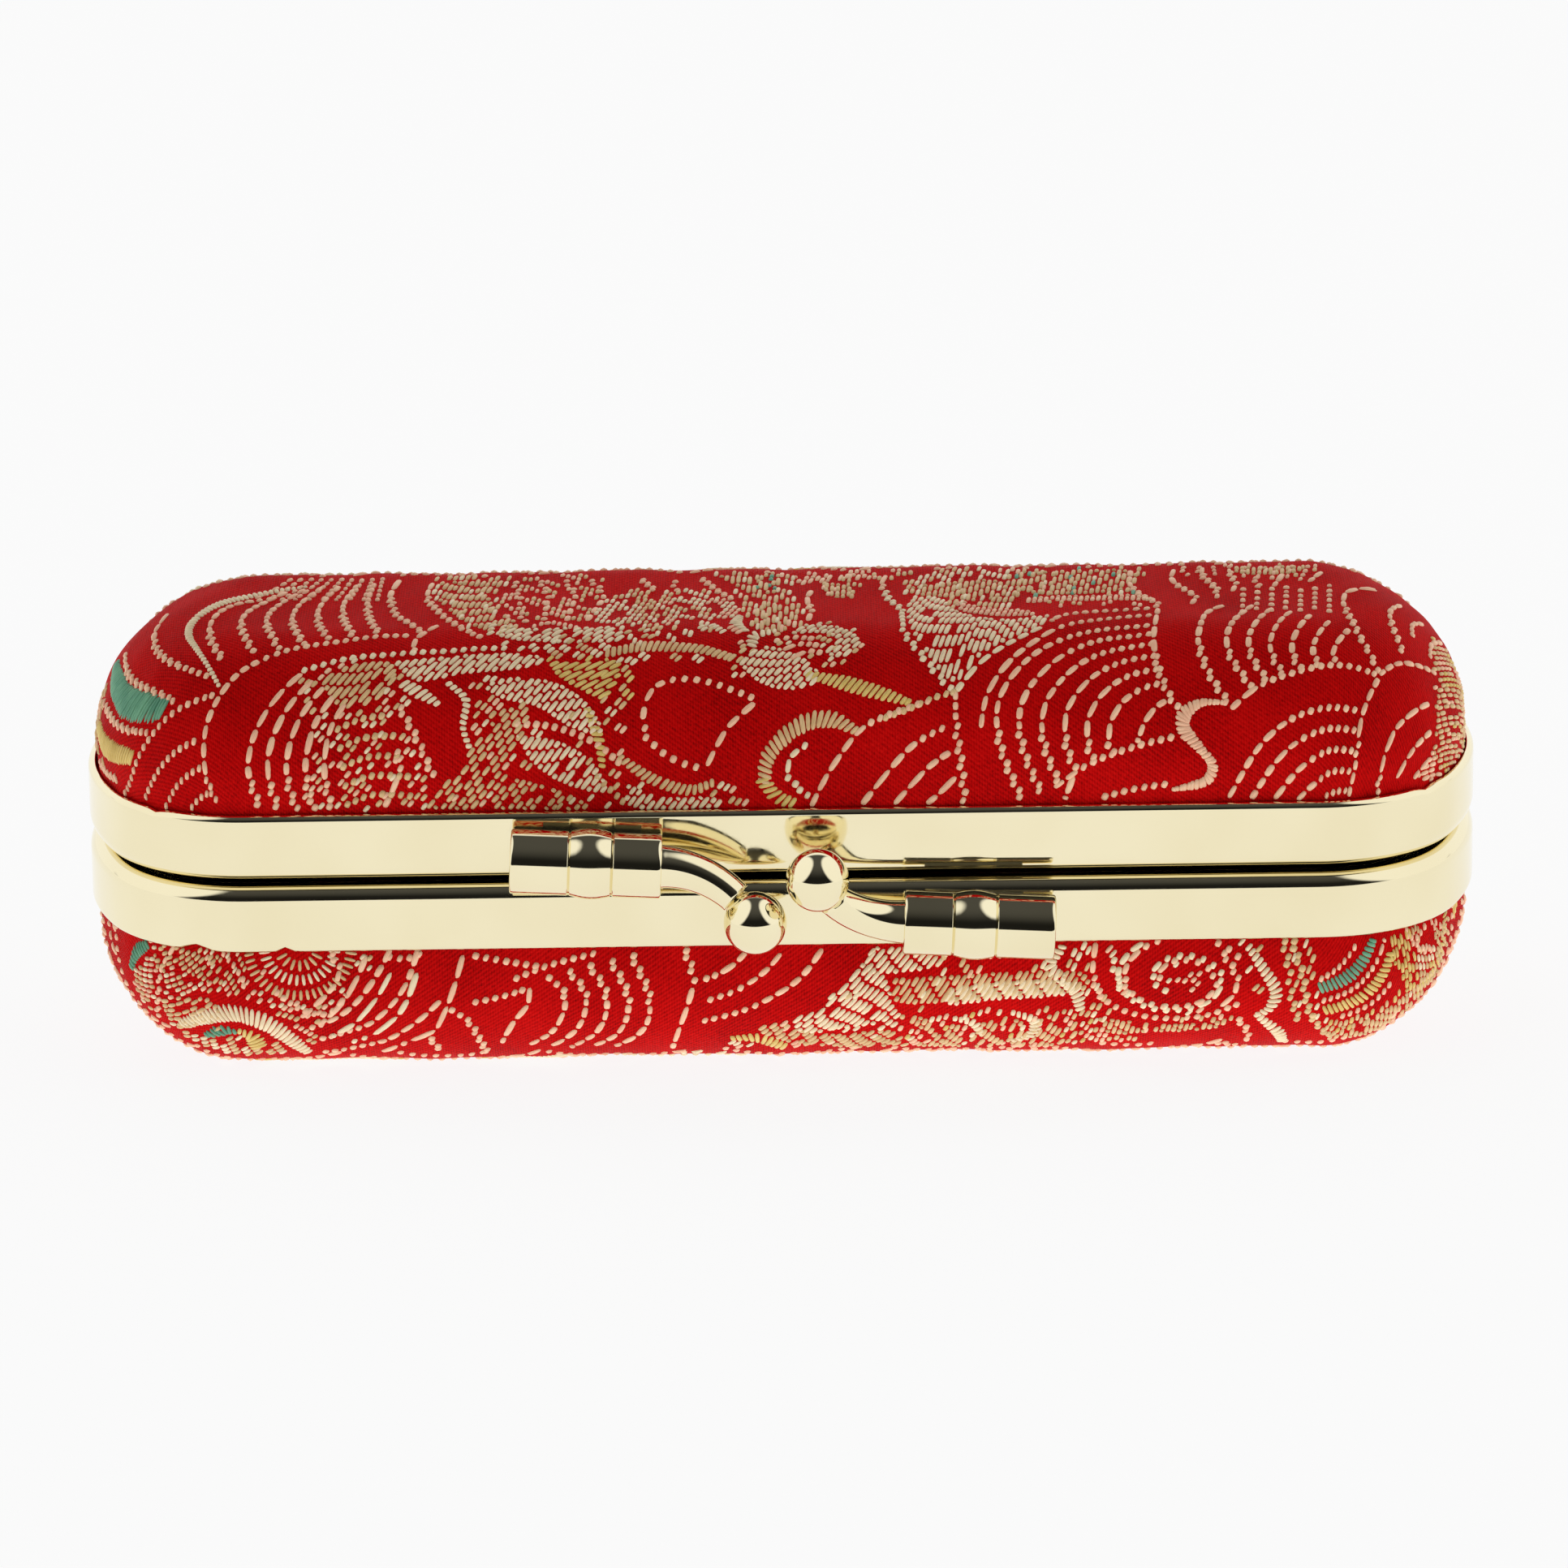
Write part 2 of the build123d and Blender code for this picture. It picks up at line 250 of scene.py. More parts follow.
def brocade_ground():
    """Red satin weave: fine warp lines, a faint diagonal of tie-down points and soft uneven dye."""
    n = new_material("brocade_ground")
    vector, across, along = n.map("cloth")
    turn = 2 * math.pi
    warp_pitch, twill_across, twill_along = 0.17, 0.46, 0.34
    warp = n.wave(across, warp_pitch)
    twill = n.math("SINE", n.plus(n.times(across, turn / twill_across), n.times(along, turn / twill_along)))
    slub = n.noise(vector, 3.4, 4, 0.7)
    cloud = n.noise(vector, 0.16, 2)
    weave = n.plus(n.times(warp, 0.22), n.times(twill, 0.26))
    tone = n.plus(n.times(weave, 0.35), n.plus(n.times(slub, 0.75), n.times(cloud, 0.35)))
    colour = n.ramp(tone, (0.22, rgb(104, 2, 3)), (0.55, rgb(184, 4, 5)), (0.86, rgb(212, 16, 14)))
    n.bump(n.plus(weave, n.times(slub, 0.8)), 0.00004, 0.7)
    return n.set(Base_Color=colour, Roughness=0.6, Specular_IOR_Level=0.02,
                 Sheen_Weight=0.02, Sheen_Roughness=0.5, Sheen_Tint=rgba(255, 60, 50))


def thread(name):
    """Floss of one colour: fine fibres along the stitch, and a tone that drifts over the cloth."""
    dark, light = THREADS[name]
    n = new_material("thread_" + name)
    _, along, around = n.map("stitch")
    fibre_count, fibre_twist = 40.0, 5.0
    fibre = n.math("SINE", n.plus(n.times(around, fibre_count), n.times(along, fibre_twist)))
    tone = n.plus(n.times(fibre, 0.16), n.noise(n.place(), 900.0, 2))
    n.bump(fibre, 0.000012, 0.5)
    return n.set(Base_Color=n.ramp(tone, (0.28, rgb(*dark)), (0.72, rgb(*light))), Roughness=0.46,
                 Specular_IOR_Level=0.4, Sheen_Weight=0.03, Sheen_Roughness=0.35)


def polished_gold(name, roughness, waviness):
    """Mirror-polished pale gold plating with a trace of waviness and fine wiping marks."""
    n = new_material(name)
    place = n.place()
    wave = n.noise(place, 160.0, 1)
    marks = n.noise(place, 2600.0, 3, 0.6)
    rough = n.range(marks, 0.35, 0.8, roughness * 0.75, roughness * 1.7)
    colour = n.mix(n.range(wave, 0.3, 0.7), rgba(242, 231, 193), rgba(246, 236, 200))
    n.bump(wave, waviness, 0.6)
    return n.set(Base_Color=colour, Metallic=1.0, Roughness=rough)


def lining_satin(name, dark, light):
    """Smooth lining satin: very fine weave lines and soft broad sheen."""
    n = new_material(name)
    place = n.place()
    across, along = n.split(place)[:2]
    warp_pitch, weft_pitch = 0.00022, 0.0003  # metres
    fine = n.times(n.wave(across, warp_pitch), n.wave(along, weft_pitch))
    cloud = n.noise(place, 120.0, 3)
    tone = n.plus(n.times(fine, 0.08), cloud)
    n.bump(n.plus(fine, n.times(cloud, 2.0)), 0.00002, 0.35)
    return n.set(Base_Color=n.ramp(tone, (0.3, dark), (0.75, light)), Roughness=0.38,
                 Specular_IOR_Level=0.5, Sheen_Weight=0.25, Sheen_Roughness=0.3)


def fibres(name, scale, detail, depth, strength, dark, light, roughness):
    """Matt fibres, as of card or wadding."""
    n = new_material(name)
    fluff = n.noise(n.place(), scale, detail, 0.7)
    n.bump(fluff, depth, strength)
    return n.set(Base_Color=n.ramp(fluff, (0.3, dark), (0.7, light)), Roughness=roughness)


def mirror_glass():
    n = new_material("mirror_silver")
    dust = n.noise(n.place(), 3000.0, 2)
    return n.set(Base_Color=rgba(238, 242, 243), Metallic=1.0, Roughness=n.range(dust, 0.4, 0.9, 0.015, 0.05))


def perimeter(step):
    """Points and outward normals round the bands' outer face, counter-clockwise from the front left."""
    points, normals = [], []

    def straight(x0, x1, y, ny):
        count = max(2, round(abs(x1 - x0) / step))
        for i in range(count):
            points.append((x0 + (x1 - x0) * i / count, y))
            normals.append((0.0, ny))

    def arc(cx, cy, radius, start, sweep):
        count = max(3, round(abs(radius * sweep) / step))
        for i in range(count):
            a = start + sweep * i / count
            points.append((cx + radius * math.cos(a), cy + radius * math.sin(a)))
            normals.append((math.cos(a), math.sin(a)))

    quarter = math.pi / 2
    corner = quarter - END_HALF_ANGLE
    for side, turn in ((1, 0.0), (-1, math.pi)):  # front and right, then back and left
        straight(-side * CORNER_X, side * CORNER_X, -side * HALF_DEPTH, -side)
        arc(side * CORNER_X, -side * CORNER_Y, CORNER_RADIUS, turn - quarter, corner)
        arc(side * END_X, 0, END_RADIUS, turn - END_HALF_ANGLE, 2 * END_HALF_ANGLE)
        arc(side * CORNER_X, side * CORNER_Y, CORNER_RADIUS, turn + END_HALF_ANGLE, corner)
    return np.array(points), np.array(normals)


def outline_reach(x, y):
    """How far a cloth point lies beyond the cushion's flat, and the outward normal there."""
    ax, ay = np.abs(x), np.abs(y)
    in_end = (ax > END_X) & (np.arctan2(ay, ax - END_X) <= END_HALF_ANGLE)
    in_corner = (ax > CORNER_X) & ~in_end
    end_d = np.maximum(np.hypot(ax - END_X, ay), 1e-9)
    corner_d = np.maximum(np.hypot(ax - CORNER_X, ay - CORNER_Y), 1e-9)
    nx = np.where(in_end, (ax - END_X) / end_d, np.where(in_corner, (ax - CORNER_X) / corner_d, 0.0))
    ny = np.where(in_end, ay / end_d, np.where(in_corner, (ay - CORNER_Y) / corner_d, 1.0))
    d = np.where(in_end, end_d - (END_RADIUS - ROLL_INSET),
                 np.where(in_corner, corner_d - (CORNER_RADIUS - ROLL_INSET), ay - (HALF_DEPTH - ROLL_INSET)))
    return d, nx * np.sign(x + 1e-12), ny * np.sign(y + 1e-12)


def puff(x, y, half):
    """Unevenness of the padded cloth, in millimetres: soft dips, and small gathers above the band."""
    gather_reach, fade = 3.4, 1.5
    d, _, _ = outline_reach(x, y)
    soft = (0.055 * np.sin(x * 0.31 + 1.3 * half) * np.cos(y * 0.42 + 0.6)
            + 0.035 * np.sin(x * 0.83 + y * 0.37 + half) + 0.02 * np.sin(x * 1.7 - y * 1.1))
    near = np.clip((d - (CLOTH_EDGE - gather_reach)) / gather_reach, 0, 1) ** 2 * (d < CLOTH_EDGE + fade)
    turn = np.arctan2(y, x - np.clip(x, -CORNER_X, CORNER_X) * 0.999)
    gather = 0.05 * np.sin(x * 2.6 + 2 * np.sin(x * 0.7) + 9 * turn) * near
    if half == BASE:  # the underside rests on its stitches and is pressed level
        rest = np.clip(1 - d / 2.5, 0, 1)
        soft = soft * (1 - 0.85 * rest) - 0.19 * rest
    return soft * np.clip(1 - np.maximum(d - CLOTH_EDGE + fade, 0) / fade, 0, 1) + gather - 0.04 * near


def wrap(x, y, lift, half, uneven=True):
    """Cloth points to space, in millimetres: lift is the height above the cover's face."""
    x, y = np.asarray(x, float), np.asarray(y, float)
    d, nx, ny = outline_reach(x, y)
    d = np.maximum(d, 0)
    if uneven:
        lift = lift + puff(x, y, half)
    a = np.minimum(d / EDGE_ROUNDING, math.pi / 2)
    down = np.maximum(d - ROLL_LENGTH, 0)
    out = EDGE_ROUNDING * np.sin(a) + lift * np.sin(a) - d
    z = SHELL_TOP - EDGE_ROUNDING * (1 - np.cos(a)) - down + lift * np.cos(a)
    return np.stack([x + nx * out, y + ny * out, SEAM_HEIGHT + half * z], -1)


def new_mesh(name, points, faces, body, materials, face_slots=None):
    """A smooth mesh piece from points in millimetres, riding on a body."""
    mesh = bpy.data.meshes.new(name)
    mesh.from_pydata((np.asarray(points) * MM).tolist(), [], faces)
    for material in materials:
        mesh.materials.append(material)
    mesh.polygons.foreach_set("use_smooth", [True] * len(mesh.polygons))
    if face_slots is not None:
        mesh.polygons.foreach_set("material_index", face_slots)
    mesh.update()
    piece = bpy.data.objects.new(name, mesh)
    bpy.context.scene.collection.objects.link(piece)
    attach(piece, body)
    return piece


def set_map(piece, name, values):
    """A map that gives each point of the mesh two values."""
    layer = piece.data.uv_layers.new(name=name)
    corners = np.zeros(len(piece.data.loops), np.int32)
    piece.data.loops.foreach_get("vertex_index", corners)
    layer.data.foreach_set("uv", values[corners].ravel())


def stand_for(piece, node):
    """The piece shows in place of a CAD node, which it hides."""
    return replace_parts(piece, node)


def grid_faces(rows, columns, flip=False, start=0):
    """Quads of a grid whose columns close into a ring."""
    r, c = np.meshgrid(np.arange(rows - 1), np.arange(columns), indexing="ij")
    c2 = (c + 1) % columns
    quad = np.stack([r * columns + c, r * columns + c2, (r + 1) * columns + c2, (r + 1) * columns + c], -1)
    quad = quad.reshape(-1, 4) + start
    return (quad[:, ::-1] if flip else quad).tolist()


def bridge(first, second, columns, flip=False):
    """Quads between two rings of points, given by the number of each ring's first point."""
    quads = [[first + c, first + (c + 1) % columns, second + (c + 1) % columns, second + c]
             for c in range(columns)]
    return [quad[::-1] for quad in quads] if flip else quads


def middle_strip(ring):
    """Faces that fill the innermost ring, pairing its front points with its back points."""
    front = sorted((i for i, p in enumerate(ring) if p[1] < 0), key=lambda i: ring[i, 0])
    back = sorted((i for i, p in enumerate(ring) if p[1] >= 0), key=lambda i: ring[i, 0])
    faces, i, j = [], 0, 0
    while i < len(front) - 1 or j < len(back) - 1:
        ahead = j >= len(back) - 1 or (i < len(front) - 1 and ring[front[i + 1], 0] <= ring[back[j + 1], 0])
        if ahead:
            faces.append([front[i], front[i + 1], back[j]])
            i += 1
        else:
            faces.append([front[i], back[j + 1], back[j]])
            j += 1
    return faces


def shell_rings(step, end):
    """Cloth coordinates of a shell in rings, from the middle line of the flat out to the edge."""
    edge, normal = perimeter(step)
    start = edge - normal * ROLL_INSET
    spine_end, flat_rings = CORNER_X * 0.97, 8
    spine = np.stack([np.clip(start[:, 0], -spine_end, spine_end), np.zeros(len(start))], -1)
    rings = [spine + (start - spine) * t for t in np.linspace(0.04, 1, flat_rings)[:-1]]
    count = max(4, round(end / step))
    rings += [start + normal * d for d in np.linspace(0, end, count + 1)]
    return np.array(rings)


def closed_layer(name, half, rings, outside, inside, material):
    """A closed layer of cloth or board: its two faces, its rim and the strip in the middle of each face."""
    rows, columns = rings.shape[:2]
    total, last, up = rows * columns, (rows - 1) * columns, half == LID
    faces = grid_faces(rows, columns, up) + grid_faces(rows, columns, not up, total)
    faces += bridge(last, total + last, columns, up)
    for face in middle_strip(rings[0]):
        faces.append(face if up else face[::-1])
        faces.append([i + total for i in (face[::-1] if up else face)])
    points = np.concatenate([outside.reshape(-1, 3), inside.reshape(-1, 3)])
    return new_mesh(name, points, faces, BODY[half], [material])


def shell(name, half, outer_lift, inner_lift, step, material, uneven=True):
    """A closed padded layer over one half, with its cloth map."""
    rings = shell_rings(step, CLOTH_END)
    faces = [wrap(rings[..., 0], rings[..., 1], lift, half, uneven) for lift in (outer_lift, inner_lift)]
    piece = closed_layer(name, half, rings, *faces, material)
    set_map(piece, "cloth", np.concatenate([rings.reshape(-1, 2)] * 2))
    return piece


def mirror_panel(material):
    """The satin-covered board in the lid's hollow, puffed up a little all round the mirror."""
    drop = -(LINING_FACE + GLUE)
    hollow_rounding = EDGE_ROUNDING + drop
    reach = EDGE_ROUNDING * math.acos(1 - BOARD_THICKNESS / hollow_rounding)
    swelling, lip_height, lip_width, sink = 0.5, 0.09, 0.3, 0.03
    rings = shell_rings(0.6, reach)
    above = wrap(rings[..., 0], rings[..., 1], drop, LID, False)
    beyond = np.maximum(np.abs(above[..., 0]) - MIRROR_LENGTH / 2, np.abs(above[..., 1]) - MIRROR_WIDTH / 2)
    beyond = np.maximum(beyond, 0)
    inward = reach - outline_reach(rings[..., 0], rings[..., 1])[0]
    swell = swelling * np.sin(math.pi * beyond / (beyond + np.maximum(inward, 0) + 0.01)) ** 0.7
    lip = lip_height * np.clip(beyond / lip_width, 0, 1) - sink
    below = above.copy()
    below[..., 2] = above[-1, :, 2].min() - swell - lip
    return closed_layer("mirror_board_padded", LID, rings, above, below, material)


def smooth_line(points, spacing=0.1):
    """A Catmull-Rom line through the points, resampled evenly, and its length."""
    p = np.array(points, float)
    if len(p) > 2:
        q = np.concatenate([[2 * p[0] - p[1]], p, [2 * p[-1] - p[-2]]])
        t = np.linspace(0, 1, 12, endpoint=False)[:, None]
        parts = [0.5 * (2 * b + (c - a) * t + (2 * a - 5 * b + 4 * c - d) * t**2
                        + (3 * b - a - 3 * c + d) * t**3) for a, b, c, d in zip(q, q[1:], q[2:], q[3:])]
        p = np.concatenate([*parts, p[-1:]])
    run = np.concatenate([[0], np.cumsum(np.hypot(*np.diff(p, axis=0).T))])
    at = np.linspace(0, run[-1], max(2, int(run[-1] / spacing)) + 1)
    return np.stack([np.interp(at, run, p[:, 0]), np.interp(at, run, p[:, 1])], -1), run[-1]


def drift(x, y, size, seed):
    """Smooth unevenness over the cloth, between 0 and 1: a sum of six waves of about the given length."""
    waves = np.random.default_rng(seed)
    total = 0.0
    for _ in range(6):
        turn = waves.uniform(0, 2 * math.pi)
        k = waves.uniform(0.6, 1.6) * 2 * math.pi / size
        shift = waves.uniform(0, 6.3)
        total += math.sin(k * (x * math.cos(turn) + y * math.sin(turn)) + shift)
    return min(max(0.5 + total / 7, 0.0), 0.999)


def tenths(text):
    """One number, or the two of a point, written in tenths of a millimetre."""
    values = tuple(float(value) / 10 for value in text.split(","))
    return values if len(values) > 1 else values[0]


class Stitching:
    """Collects the stitches of one half, as ends on the cloth, width, height and thread."""

    def __init__(self, lean):
        self.lean = lean  # the weave leans to the right on the lid's cloth (1), to the left on the base's
        self.rows = []
        self.cuts = []

    def draw(self, motifs):
        """Draws a table of motifs. An entry has its kind, thread and settings, then its points in tenths of
        a millimetre. After a bar comes the second line of arcs, or the widths that a ribbon runs through."""
        kinds = {"row": self.row, "arcs": self.arcs, "ribbon": self.ribbon, "fill": self.fill,
                 "weave": self.weave, "cut": self.cut}
        for entry in re.split(r"\n(?=[a-z#])", motifs.strip()):
            if entry.startswith("#"):
                continue
            head, _, body = entry.partition(":")
            kind, *words = head.split()
            names = [word for word in words if "=" not in word]
            style = {key: float(value) for key, value in (word.split("=") for word in words if "=" in word)}
            lists = [[tenths(item) for item in part.split()] for part in body.split("|")]
            kinds[kind](*names, *lists, **style)

    def stitch(self, a, b, width, height, name):
        self.rows.append((a[0], a[1], b[0], b[1], width, height, THREAD_NAMES.index(name)))

    def row(self, name, points, width=0.45, gap=0.1, short=0.56, long=1.3):
        """A line of stitches: long floats where it runs along the weave's lean, small beads elsewhere."""
        line, length = smooth_line(points)
        run = np.linspace(0, length, len(line))
        at, side = 0.15 * rng.random(), 1
        while at < length - 0.2:  # no stitch in the last fifth of a millimetre
            i = min(np.searchsorted(run, at), len(line) - 2)
            step = line[min(i + 2, len(line) - 1)] - line[i]
            turn = math.degrees(math.atan2(step[1] * self.lean, step[0]))
            floating = (FLOAT_SPREAD - abs((turn - FLOAT_TURN + 90) % 180 - 90)) / FLOAT_FADE
            floating = min(max(floating, 0), 1)
            steep = abs(step[1]) / (np.hypot(*step) + 1e-9) > STEEP
            size = short * (1 - 0.3 * steep) * (1 - floating) + long * floating * rng.uniform(0.62, 1.08)
            size = min(size, length - at)
            start, end = (np.array([np.interp(a, run, line[:, k]) for k in (0, 1)]) for a in (at, at + size))
            if floating < 0.35:
                middle, lean = (start + end) / 2, np.array([BEAD_LEAN[0], BEAD_LEAN[1] * self.lean])
                middle = middle + side * np.array([BEAD_ZIGZAG, 0]) * steep
                start, end = middle - lean, middle + lean
                side = -side
            self.stitch(start, end, width * rng.uniform(0.85, 1.12), ROW_HEIGHT, name)
            at += size + gap * rng.uniform(0.8, 1.25)

    def arcs(self, name, first, last, count, **style):
        """Rows that pass evenly from one line to another."""
        ts = np.linspace(0, 1, 40)
        a, b = (np.stack([np.interp(ts, np.linspace(0, 1, len(line)), line[:, k]) for k in (0, 1)], -1)
                for line in (smooth_line(first)[0], smooth_line(last)[0]))
        for t in np.linspace(0, 1, int(count)):
            self.row(name, a[::3] * (1 - t) + b[::3] * t, **style)

    def ribbon(self, name, points, widths, pitch=0.4, slant=0.35, thick=0.36):
        """Satin stitches across a curved strip; wide places take two or more stitches end to end."""
        line, length = smooth_line(points)
        count = max(2, int(length / pitch))
        for k in range(count + 1):
            t = k / count
            i = min(int(t * (len(line) - 1)), len(line) - 2)
            along = line[i + 1] - line[i]
            along = along / (np.hypot(*along) + 1e-9)
            across = np.array([-along[1], along[0]])
            w = np.interp(t, np.linspace(0, 1, len(widths)), widths) * rng.uniform(0.92, 1.06)
            lean = across * w / 2 + along * slant * w / 2
            parts = max(1, int(w / SATIN_PART))
            for part in range(parts):
                a = line[i] - lean + 2 * lean * part / parts
                b = a + 2 * lean / parts * (0.95 if parts > 1 else 1)
                self.stitch(a, b, thick * rng.uniform(0.92, 1.1), SATIN_HEIGHT, name)

    def direction(self, angle):
        turn = math.radians(angle * self.lean)
        return math.cos(turn), math.sin(turn)

    def spans(self, polygon, c, s, pitch):
        """Parallel lines inside an outline: the line's number and level, and where it enters and leaves."""
        shape, _ = smooth_line([*polygon, polygon[0]], 0.2)
        u, v = shape[:, 0] * c + shape[:, 1] * s, -shape[:, 0] * s + shape[:, 1] * c
        for number, level in enumerate(np.arange(v.min() + pitch / 2, v.max(), pitch)):
            i = np.flatnonzero((v[:-1] - level) * (v[1:] - level) < 0)
            hits = np.sort(u[i] + (level - v[i]) / (v[i + 1] - v[i]) * (u[i + 1] - u[i]))
            for lo, hi in zip(hits[::2], hits[1::2]):
                yield number, level, lo, hi

    def fill(self, name, polygon, angle=52.0, pitch=0.38, length=1.25, gap=0.06, thick=0.35, keep=1.0):
        """Satin stitches laid side by side inside an outline, in brick order."""
        c, s = self.direction(angle)
        for number, level, lo, hi in self.spans(polygon, c, s, pitch):
            at = lo - (number % 3) * length / 3
            while at < hi:
                a, b = max(at, lo), min(at + length, hi)
                if b - a > SHORTEST_SATIN and rng.random() < keep:
                    ends = [(q * c - level * s, q * s + level * c) for q in (a, b)]
                    self.stitch(*ends, thick * rng.uniform(0.9, 1.1), SATIN_HEIGHT, name)
                at += length + gap

    def weave(self, names, polygon, angle=50.0, pitch=0.4, length=0.72, gap=0.08, holes=0.3, grain=1.7,
              thick=0.34):
        """Short stitches that fill what is still open inside an outline, in drifting colours and gaps."""
        names = names.split(",")

        def cell(x, y):
            return int(x // OPEN_CELL), int(y // OPEN_CELL)

        taken = set()
        for x0, y0, x1, y1, *_ in self.rows:
            for t in np.linspace(0, 1, 2 + int(math.hypot(x1 - x0, y1 - y0) / 0.2)):
                taken.add(cell(x0 + (x1 - x0) * t, y0 + (y1 - y0) * t))
        c, s = self.direction(angle)
        seed = 100 + len(self.rows)
        for number, level, lo, hi in self.spans(polygon, c, s, pitch):
            for at in np.arange(lo + (number % 3) * (length + gap) / 3, hi - length * 0.4, length + gap):
                ends = [(q * c - level * s, q * s + level * c) for q in (at, at + length)]
                x, y = (ends[0][0] + ends[1][0]) / 2, (ends[0][1] + ends[1][1]) / 2
                if drift(x, y, grain, seed) < holes:
                    continue
                if any(cell(x + k * c, y + k * s) in taken for k in (-0.25, 0.0, 0.25)):
                    continue
                name = names[min(int(drift(x, y, grain * 1.6, seed + 1) * len(names)), len(names) - 1)]
                width = thick * rng.uniform(0.85, 1.1)
                self.stitch(*ends, width, WEAVE_HEIGHT * rng.uniform(0.8, 1.15), name)

    def cut(self, points):
        """A thin red line left open between stitches."""
        self.cuts.append(smooth_line(points, 0.15)[0])

    def table(self, apart=0.16, chunk=2000):
        """All the stitches, without those that a cut line passes through, looked at in chunks."""
        table = np.array(self.rows)
        if self.cuts:
            line = np.concatenate(self.cuts)
            middle = (table[:, 0:2] + table[:, 2:4]) / 2
            clear = [np.hypot(*(part[:, None] - line[None]).transpose(2, 0, 1)).min(1) > apart
                     for part in (middle[i:i + chunk] for i in range(0, len(middle), chunk))]
            table = table[np.concatenate(clear)]
        return table


